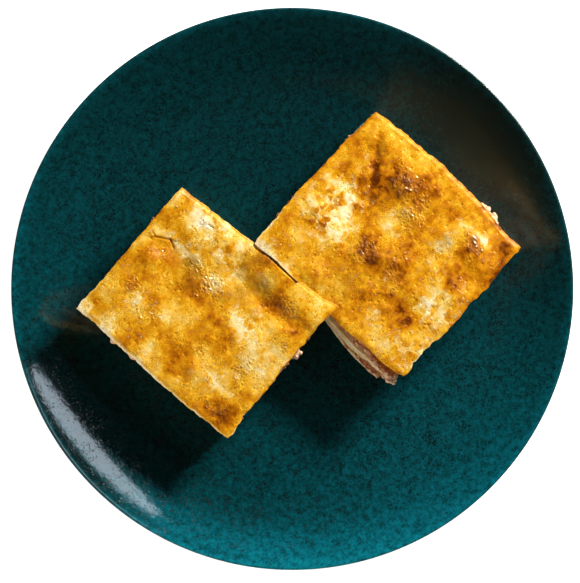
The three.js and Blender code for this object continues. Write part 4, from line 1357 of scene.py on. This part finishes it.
def layer_edge(portion, kind, depth):
    """The cut edge of a layer seen from above: what is known of each of its points."""
    corners = layer_corners(portion, kind, depth)
    u, v, outs = [], [], []
    ends = (("north", "west"), ("west", "south"), ("south", "east"), ("east", "north"))
    paths = (lambda s: (0 * s, s), lambda s: (s, 0 * s + 1), lambda s: (0 * s + 1, 1 - s),
             lambda s: (1 - s, 0 * s))
    covered, shares = [], []
    for name, (one, other), path in zip(SIDES, ends, paths):
        count = round(side_length(corners, one, other) / EDGE_STEP)
        share = np.arange(count) / count
        side_u, side_v = path(share)
        u.append(side_u)
        v.append(side_v)
        outs.append(np.tile(side_direction(corners, name), (count, 1)))
        hidden = np.zeros(count)
        if portion["name"] == "left" and name == "northEast":
            hidden = np.ones(count)
        open_share = np.zeros(count)
        if portion["name"] == "right" and name == "southWest":
            hidden = 1 - smooth(0.5, 0.6, share)
            open_share = share
        covered.append(hidden)
        shares.append(open_share)
    u, v = np.concatenate(u), np.concatenate(v)
    x, y = place_at(portion, corners, depth, u, v)
    out = np.concatenate(outs)
    blur = np.stack([sum(np.roll(out[:, axis], k) for k in range(-3, 4)) for axis in (0, 1)], -1)
    blur /= np.hypot(blur[:, 0], blur[:, 1])[:, None]
    spots = np.stack([x, y], -1)
    covered = np.concatenate(covered)
    return {"spots": spots, "outward": blur, "covered": covered, "exposed": 1 - 0.8 * covered,
            "run": np.cumsum(np.hypot(*(np.roll(spots, -1, 0) - spots).T)),
            "open_share": np.concatenate(shares),
            "centre": np.array(blend_corners(corners, 0.5, 0.5))}


def edge_offset(name, soft, edge, seed):
    """How far a layer's edge stands out from its solid's, along its course."""
    run = edge["run"]
    broad = cloud(run, run * 0, 11, seed, 2) - 0.5
    fine = cloud(run, run * 0 + 9, 2.2, seed + 1, 2) - 0.5
    offset = soft["offset"] + soft["ragged"] * (1.6 * broad + 0.7 * fine) * edge["exposed"]
    far, near = STAGGER[name]
    stagger = far + (near - far) * smooth(*NEAR_END, edge["open_share"]) - soft["offset"]
    offset = offset + stagger * smooth(*OPEN_FROM, edge["open_share"])
    return np.minimum(offset, np.where(edge["covered"] > 0.5, 0.2, np.inf))


print("an edge of the bottom sheet has", len(layer_edge(LEFT, "pasta", 1)["run"]), "points")

# %% Clumps of mince
LUMPS = 7
LUMP_RADIUS = (2.2, 3.8)
LUMP_SPAN = (0.06, 0.94)
COVERED_SHARE = 0.55
BALL_ROUND, BALL_RISES = 14, 9
# how light the meat is: most of it, and the clumps that stand out past the top, paler with fat and
# painted lighter as light that falls on them
PLAIN_TONE, PAINTED_LIGHT_TONE = 0.3, 1.3
# clumps that stand out past the top: place and half widths
LEFT["clumps"] = [((0.8, -30.2), (3.2, 2.8)), ((-82.9, -23.2), (3.2, 2.8)),
                  ((-74.2, -31.1), (3.4, 2.6))]
RIGHT["clumps"] = [((90.0, 37.4), (3.2, 2.8)), ((93.8, 33.2), (3.0, 2.6)),
                   ((46.4, -40.4), (3.4, 2.8)), ((47.2, -42.4), (2.2, 2.4))]


def clump_places(portion, order, depth):
    """Where clumps of mince stand in a layer's cut sides, how large they are and how light."""
    random = seeded(portion["seed"] * 300 + order)
    corners = layer_corners(portion, "meat", depth)
    places = []
    for index in range(LUMPS):
        round_share = 4 * (index + next(random)) / LUMPS
        edge = int(round_share)
        share = LUMP_SPAN[0] + (LUMP_SPAN[1] - LUMP_SPAN[0]) * (round_share - edge)
        radius = LUMP_RADIUS[0] + (LUMP_RADIUS[1] - LUMP_RADIUS[0]) * next(random)
        u, v = ((0, share), (share, 1), (1, 1 - share), (1 - share, 0))[edge]
        x, y = place_at(portion, corners, depth, u, v)
        out = side_direction(corners, SIDES[edge]) * (-0.3 - 0.6 * radius)
        meeting = (portion["name"], SIDES[edge])
        hidden = meeting == ("left", "northEast")
        hidden = hidden or (meeting == ("right", "southWest") and share < COVERED_SHARE)
        if not hidden:
            places.append(((x + out[0], y + out[1]), (radius, 0.8 * radius), PLAIN_TONE))
    if LAYERS[order][0] == "upper_meat":
        places += [(*clump, PAINTED_LIGHT_TONE) for clump in portion["clumps"]]
    return places


def rough_ball(centre, radii, seed):
    """Points and faces of an uneven ball with closed poles."""
    turn = np.arange(BALL_ROUND) * 2 * math.pi / BALL_ROUND
    points = [(0, 0, -1)]
    for rise in np.linspace(-90, 90, BALL_RISES + 1)[1:-1]:
        level = math.radians(rise)
        points += [(math.cos(level) * math.cos(a), math.cos(level) * math.sin(a), math.sin(level))
                   for a in turn]
    points = np.array([*points, (0, 0, 1)])
    size = 0.82 + 0.36 * cloud(points[:, 0] * 2 + seed, points[:, 1] * 2 + points[:, 2] * 3,
                               1.1, seed, 2)
    rings = np.arange(1, len(points) - 1).reshape(-1, BALL_ROUND)
    after = np.roll(rings, -1, 1)
    pole = np.zeros(BALL_ROUND, int)
    faces = np.stack([pole, after[0], rings[0]], 1).tolist()
    for ring in range(len(rings) - 1):
        faces += np.stack([rings[ring], after[ring], after[ring + 1], rings[ring + 1]], 1).tolist()
    faces += np.stack([rings[-1], after[-1], pole + len(points) - 1], 1).tolist()
    return np.array(centre) + points * size[:, None] * np.array(radii), faces


def clump_balls(portion, order, shares, seed):
    """The clumps in a meat layer's cut sides: points, faces and tone of each."""
    balls = []
    for number, (place, radii, tone) in enumerate(clump_places(portion, order, 1 - shares[1])):
        low, high = (float(level_face(portion, share, *place)) for share in shares)
        half_height = 0.43 * (high - low)
        ball, faces = rough_ball((*place, (low + high) / 2), (*radii, half_height), seed + number)
        balls.append((ball, faces, tone))
    return balls


print("a clump has", len(rough_ball((0, 0, 0), (1, 1, 1), 1)[1]), "faces")

# %% A layer as one closed slab
TOUCH = 0.15
CAP_RINGS = (0.3, 0.7, 0.9, 0.985)


def slab_levels(portion, shares, x, y):
    """Lower and upper level of a layer, a touch into its neighbours."""
    low, high = (level_face(portion, share, x, y) for share in shares)
    return low - TOUCH, high + TOUCH


def layer_rings(portion, order, shares, thickness, edge):
    """Rings of a slab: below it from the middle out, up its cut side, and back in above it."""
    name, kind, _ = LAYERS[order]
    soft, seed = KINDS[kind], portion["seed"] * 10 + order
    run, centre = edge["run"], edge["centre"]
    offset = edge_offset(name, soft, edge, seed)
    foot = edge["spots"] + edge["outward"] * offset[:, None]
    caps = [centre + (foot - centre) * share for share in CAP_RINGS]
    rings = [np.column_stack([cap, slab_levels(portion, shares, *cap.T)[0]]) for cap in caps]
    bulge = soft["bulge"] + soft["open_bulge"] * smooth(*OPEN_FROM, edge["open_share"])
    for share in soft["rows"]:
        round_off = math.sqrt(max(0.0, 1 - (2 * share - 1) ** 2))
        lump, _ = pebbles(run, run * 0 + share * thickness + order * 20, 1.9, seed + 2)
        rough = soft["rough"] * (0.5 - lump) * edge["exposed"] * (0.4 + 0.6 * round_off)
        push = offset + bulge * (round_off - 0.5) + rough
        push = np.minimum(push, np.where(edge["covered"] > 0.5, 0.3, np.inf))
        ring = edge["spots"] + edge["outward"] * push[:, None]
        low, high = slab_levels(portion, shares, *ring.T)
        rings.append(np.column_stack([ring, low + (high - low) * share]))
    return rings + [np.column_stack([cap, slab_levels(portion, shares, *cap.T)[1]])
                    for cap in reversed(caps)]


def make_layer(portion, order, start, thickness):
    """One layer as a closed slab, with clumps of mince where it is meat."""
    name, kind, _ = LAYERS[order]
    shares = (start / PORTION_HEIGHT, (start + thickness) / PORTION_HEIGHT)
    edge = layer_edge(portion, kind, 1 - shares[1])
    rings = layer_rings(portion, order, shares, thickness, edge)
    low, high = slab_levels(portion, shares, *edge["centre"])
    points = [*rings, [[*edge["centre"], low], [*edge["centre"], high]]]
    count = len(edge["run"])
    loops = np.arange(count * len(rings)).reshape(len(rings), count)
    total = loops.size + 2
    # the last two points are the middles of the lower and the upper face
    top_middle = np.full(count, total - 1)
    faces = joined_rings(loops.size, loops, count)
    faces += np.stack([top_middle, loops[-1], np.roll(loops[-1], -1)], 1).tolist()
    on_side = [0.0] * len(CAP_RINGS) + [1.0] * len(KINDS[kind]["rows"]) + [0.0] * len(CAP_RINGS)
    sides = [np.repeat(on_side, count), np.zeros(2)]
    tones = [np.full(total, PLAIN_TONE)]
    balls = clump_balls(portion, order, shares, portion["seed"] * 10 + order) if kind == "meat" else []
    for ball, ball_faces, tone in balls:
        faces += [[total + index for index in face] for face in ball_faces]
        points.append(ball)
        sides.append(np.ones(len(ball)))
        tones.append(np.full(len(ball), tone))
        total += len(ball)
    piece = make_mesh(f"{portion['name']}_{name}_soft", np.concatenate(points), faces)
    add_attribute(piece, "side", np.concatenate(sides))
    add_attribute(piece, "tone", np.concatenate(tones))
    return piece


print("the rings of a meat layer:", 2 * len(CAP_RINGS) + len(KINDS["meat"]["rows"]))

# %% [markdown]
# ## Mince
#
# Meat sauce at a cut is fried crumbs of one to three millimetres held by a dark tomato paste.
# Geometry Nodes scatter them: points are spread on the cut side only, each gets a small ball
# of random size and turn, the balls are made real and roughened, and each keeps a random tone
# that the material reads, so that neighbours differ as lean and fat crumbs do.

# %% Crumbs scattered over the cut side


# a crumb's turn in radians, and how its tone differs from the layer's
WHOLE_TURN = 6.28
TONE_FROM, TONE_TO = -0.3, 0.7


def scattered_crumbs(tree, entry):
    """Small balls of random size, turn and tone on the cut side, made real."""
    side = add_node(tree, "GeometryNodeInputNamedAttribute", {"data_type": "FLOAT"},
                    {"Name": "side"})
    on_side = add_node(tree, "FunctionNodeCompare",
                       {"data_type": "FLOAT", "operation": "GREATER_THAN"},
                       {0: side.outputs[0], 1: 0.95})
    scattered = add_node(tree, "GeometryNodeDistributePointsOnFaces", None,
                         {"Mesh": entry.outputs["Geometry"], "Selection": on_side.outputs[0],
                          "Density": entry.outputs["Crumbs per square metre"],
                          "Seed": entry.outputs["Seed"]})
    ball = add_node(tree, "GeometryNodeMeshUVSphere", None,
                    {"Segments": 8, "Rings": 5, "Radius": 1.0})
    size = add_node(tree, "FunctionNodeRandomValue", {"data_type": "FLOAT"},
                    {2: entry.outputs["Smallest radius"], 3: entry.outputs["Largest radius"],
                     "Seed": entry.outputs["Seed"]})
    turn = add_node(tree, "FunctionNodeRandomValue", {"data_type": "FLOAT_VECTOR"},
                    {0: (0.0, 0.0, 0.0), 1: (WHOLE_TURN, WHOLE_TURN, WHOLE_TURN),
                     "Seed": entry.outputs["Seed"]})
    balls = add_node(tree, "GeometryNodeInstanceOnPoints", None,
                     {"Points": scattered.outputs[0], "Instance": ball.outputs[0],
                      "Rotation": turn.outputs[0], "Scale": size.outputs[1]})
    luck = add_node(tree, "FunctionNodeRandomValue", {"data_type": "FLOAT"},
                    {2: TONE_FROM, 3: TONE_TO, "Seed": entry.outputs["Seed"]})
    below = add_node(tree, "GeometryNodeInputNamedAttribute", {"data_type": "FLOAT"},
                     {"Name": "tone"})
    tone = add_node(tree, "ShaderNodeMath", {"operation": "ADD"},
                    {0: luck.outputs[1], 1: below.outputs[0]})
    toned = add_node(tree, "GeometryNodeStoreNamedAttribute",
                     {"data_type": "FLOAT", "domain": "INSTANCE"},
                     {"Geometry": balls.outputs[0], "Name": "tone", "Value": tone.outputs[0]})
    return add_node(tree, "GeometryNodeRealizeInstances", None, {"Geometry": toned.outputs[0]})


def roughened_crumbs(tree, entry, crumbs):
    """Pushes the crumbs' points about by noise, up to twice the roughness each way."""
    place = add_node(tree, "GeometryNodeInputPosition")
    noise = add_node(tree, "ShaderNodeTexNoise", None,
                     {"Vector": place.outputs[0], "Scale": scale_for(1.1), "Detail": 2.0})
    centred = add_node(tree, "ShaderNodeVectorMath", {"operation": "SUBTRACT"},
                       {0: noise.outputs[1], 1: (0.5, 0.5, 0.5)})
    reach = add_node(tree, "ShaderNodeMath", {"operation": "MULTIPLY"},
                     {0: entry.outputs["Roughness"], 1: 4.0})
    push = add_node(tree, "ShaderNodeVectorMath", {"operation": "SCALE"},
                    {0: centred.outputs[0], "Scale": reach.outputs[0]})
    return add_node(tree, "GeometryNodeSetPosition", None,
                    {"Geometry": crumbs.outputs[0], "Offset": push.outputs[0]})


def mince_tree():
    """Crumbs on the cut side of a layer, joined with it."""
    tree = bpy.data.node_groups.new("mince crumbs", "GeometryNodeTree")
    add_sockets(tree, [("Crumbs per square metre", "NodeSocketFloat", 230000.0),
                       ("Smallest radius", "NodeSocketFloat", 0.0005),
                       ("Largest radius", "NodeSocketFloat", 0.0013),
                       ("Roughness", "NodeSocketFloat", 0.0004),
                       ("Seed", "NodeSocketInt", 1),
                       ("Sauce", "NodeSocketMaterial", None)])
    entry = add_node(tree, "NodeGroupInput")
    rough = roughened_crumbs(tree, entry, scattered_crumbs(tree, entry))
    joined = add_node(tree, "GeometryNodeJoinGeometry")
    tree.links.new(rough.outputs[0], joined.inputs[0])
    tree.links.new(entry.outputs["Geometry"], joined.inputs[0])
    whole = add_node(tree, "GeometryNodeRealizeInstances", None, {"Geometry": joined.outputs[0]})
    shaded = add_node(tree, "GeometryNodeSetShadeSmooth", None, {0: whole.outputs[0]})
    sauced = add_node(tree, "GeometryNodeSetMaterial", None,
                      {"Geometry": shaded.outputs[0], "Material": entry.outputs["Sauce"]})
    add_node(tree, "NodeGroupOutput", None, {"Geometry": sauced.outputs[0]})
    return tree


crumbs = mince_tree()
print(crumbs.name, "has", len(crumbs.nodes), "nodes")

# %% [markdown]
# ## Pasta, bechamel and sauce
#
# Boiled and baked egg pasta is a smooth, waxy sheet, pale yellow and slightly translucent.
# Bechamel is an opaque cream, set soft, yellower than milk. The sauce is fried beef in reduced
# tomato: red-brown, greasy, with paler crumbs. All are wet, so roughness stays moderate and a
# little light passes under the surface.

# %% Fillings


def filling_material(name, stops, patch_size, roughness, weight, bump_height, tone_share):
    """A moist filling: a colour ramp read by noise, and by each crumb's own tone."""
    material, tree = new_material(name)
    here = add_node(tree, "ShaderNodeTexCoord").outputs["Object"]
    noise = add_node(tree, "ShaderNodeTexNoise", None,
                     {"Vector": here, "Scale": scale_for(patch_size), "Detail": 5.0, "Roughness": 0.62})
    tone = add_node(tree, "ShaderNodeAttribute", {"attribute_name": "tone"})
    mixed = add_node(tree, "ShaderNodeMath", {"operation": "MULTIPLY_ADD"},
                     {0: tone.outputs["Fac"], 1: tone_share, 2: noise.outputs[0]})
    ramp = add_node(tree, "ShaderNodeValToRGB", {"stops": stops}, {0: mixed.outputs[0]})
    grain = add_node(tree, "ShaderNodeTexNoise", None,
                     {"Vector": here, "Scale": scale_for(0.75), "Detail": 3.0, "Roughness": 0.6})
    bump = add_node(tree, "ShaderNodeBump", None,
                    {"Strength": 0.6, "Distance": bump_height, "Height": grain.outputs[0]})
    shader = add_node(tree, "ShaderNodeBsdfPrincipled", None,
                      {"Base Color": ramp.outputs[0], "Roughness": roughness, "IOR": 1.45,
                       "Subsurface Weight": weight, "Subsurface Scale": 0.0015,
                       "Subsurface Radius": (1.0, 0.6, 0.3), "Normal": bump.outputs[0]})
    finish_material(tree, shader)
    return material


FILLINGS = {
    "pasta": filling_material(
        "baked_egg_pasta_sheet", [(0.3, "#d9b478"), (0.5, "#f3deb0"), (0.7, "#fcf0d4")],
        patch_size=3.9, roughness=0.42, weight=0.2, bump_height=0.0002, tone_share=0.0),
    "bechamel": filling_material(
        "set_bechamel_sauce", [(0.3, "#e2c878"), (0.5, "#f6e6a8"), (0.7, "#fdf5d2")],
        patch_size=3.3, roughness=0.38, weight=0.2, bump_height=0.0003, tone_share=0.0),
    "meat": filling_material(
        "fried_mince_in_tomato_sauce",
        [(0.3, "#5a2614"), (0.5, "#9d5430"), (0.74, "#cb8a5c"), (1.0, "#f2d0ae")],
        patch_size=2.4, roughness=0.36, weight=0.1, bump_height=0.0004, tone_share=0.35),
}
print("fillings:", [material.name for material in FILLINGS.values()])

# %% All the layers below the tops
for portion in (LEFT, RIGHT):
    reached = 0.0
    for order, (name, kind, thickness) in enumerate(LAYERS[:-1]):
        piece = make_layer(portion, order, reached, thickness)
        reached += thickness + CLEARANCE
        if kind == "meat":
            piece = apply_tree(piece, crumbs, {
                "Crumbs per square metre": 230000.0, "Smallest radius": 0.0005,
                "Largest radius": 0.0013, "Roughness": 0.0004, "Seed": portion["seed"] + order,
                "Sauce": FILLINGS[kind]}, f"{portion['name']}_{name}_soft")
        else:
            piece.data.materials.append(FILLINGS[kind])
        print(piece.name, len(piece.data.polygons), "faces")
        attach(piece, "root")
        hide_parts(f"{portion['name']}_{name}")

# %% [markdown]
# ## Light, floor and camera
#
# The plate stands on a white table under a studio lamp from the upper right, with a window
# that draws the sheen on the near left of the rim. A faint warm ceiling and a card soften the
# shadows from the near left. The camera looks straight down.

# %% Lamps
LAMPS_FACE = (0, 0, 0.02)


def add_lamp(name, azimuth, elevation, distance, width, height, power, colour,
             roll=0, shape="RECTANGLE"):
    """A lamp. Its azimuth is counted from the right side of the plate towards the far side."""
    data = bpy.data.lights.new(name, "AREA")
    data.shape = shape
    data.size, data.size_y = width, height
    data.energy = power
    data.color = hex_colour(colour)[:3]
    lamp = bpy.data.objects.new(name, data)
    turn, rise = math.radians(azimuth), math.radians(elevation)
    way = Vector((math.cos(rise) * math.cos(turn), math.cos(rise) * math.sin(turn), math.sin(rise)))
    lamp.location = Vector(LAMPS_FACE) + distance * way
    lamp.rotation_euler = (-way).to_track_quat("-Z", "Y").to_euler()
    lamp.rotation_euler.rotate_axis("Z", math.radians(roll))
    bpy.context.scene.collection.objects.link(lamp)
    print(name, "at", [round(value, 2) for value in lamp.location])


# name, azimuth, elevation, distance, width, height, power and colour: degrees, metres and watts
add_lamp("key", 47, 31, 1.2, 0.30, 0.18, 26.5, "#fff6ea")
add_lamp("window", 37.6, 50.4, 1.2, 0.60, 0.072, 1.1, "#d5e1ef", 4, "ELLIPSE")
add_lamp("warm_ceiling", 217, 65.3, 1.2, 0.42, 0.70, 0.16, "#ffc41c")
add_lamp("bounce_card", 225, 14, 1.0, 1.2, 0.36, 6.5, "#fff0dc")

# %% Room and table
ROOM_LIGHT = 0.012
FLOOR_HALF = 2000
FLOOR_PATCH = 100

world = bpy.data.worlds.new("dim room")
world.use_nodes = True
world.node_tree.nodes["Background"].inputs[0].default_value = hex_colour("#ffffff")
world.node_tree.nodes["Background"].inputs[1].default_value = ROOM_LIGHT
bpy.context.scene.world = world
bpy.context.scene.view_settings.view_transform = "Standard"

floor_material, floor_tree = new_material("white_table_top")
# with no place given, a pattern's space runs once over the whole table
speckle = add_node(floor_tree, "ShaderNodeTexNoise", None,
                   {"Scale": 2 * FLOOR_HALF / FLOOR_PATCH, "Detail": 3.0})
white = add_node(floor_tree, "ShaderNodeValToRGB", {"stops": [(0.3, "#f6f6f5"), (0.7, "#fbfbfa")]},
                 {0: speckle.outputs[0]})
floor_shader = add_node(floor_tree, "ShaderNodeBsdfPrincipled", None,
                        {"Base Color": white.outputs[0], "Roughness": 0.8,
                         "Emission Color": (1.0, 1.0, 1.0, 1.0), "Emission Strength": 0.95})
finish_material(floor_tree, floor_shader)
floor = make_mesh("white_table", [(-FLOOR_HALF, -FLOOR_HALF, 0), (FLOOR_HALF, -FLOOR_HALF, 0),
                                  (FLOOR_HALF, FLOOR_HALF, 0), (-FLOOR_HALF, FLOOR_HALF, 0)],
                  [(0, 1, 2, 3)])
floor.data.materials.append(floor_material)
floor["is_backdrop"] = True
print("the table is", 2 * FLOOR_HALF * MM, "m wide")

# %% Camera
LENS = 125.8
SENSOR = 36
CAMERA_PLACE = (-0.00109, -0.00127, 1.0)

camera_data = bpy.data.cameras.new("overhead")
camera_data.lens = LENS
camera_data.sensor_width = SENSOR
camera = bpy.data.objects.new("overhead", camera_data)
camera.location = CAMERA_PLACE
bpy.context.scene.collection.objects.link(camera)
bpy.context.scene.camera = camera
print("the camera sees", round(SENSOR / LENS * CAMERA_PLACE[2] / MM), "mm of the table's width")

# %% [markdown]
# ## The size of the whole
#
# The finer pieces take the places of the solids, so together they have to fill the same box.
# Both boxes are kept, in metres, and the visual one is printed in millimetres.

# %% The two boxes
size = {"cad": CAD_BOX, "visual": [list(corner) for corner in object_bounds()]}
print("box of the visual model in mm:", [[round(n * 1000, 2) for n in c] for c in size["visual"]])
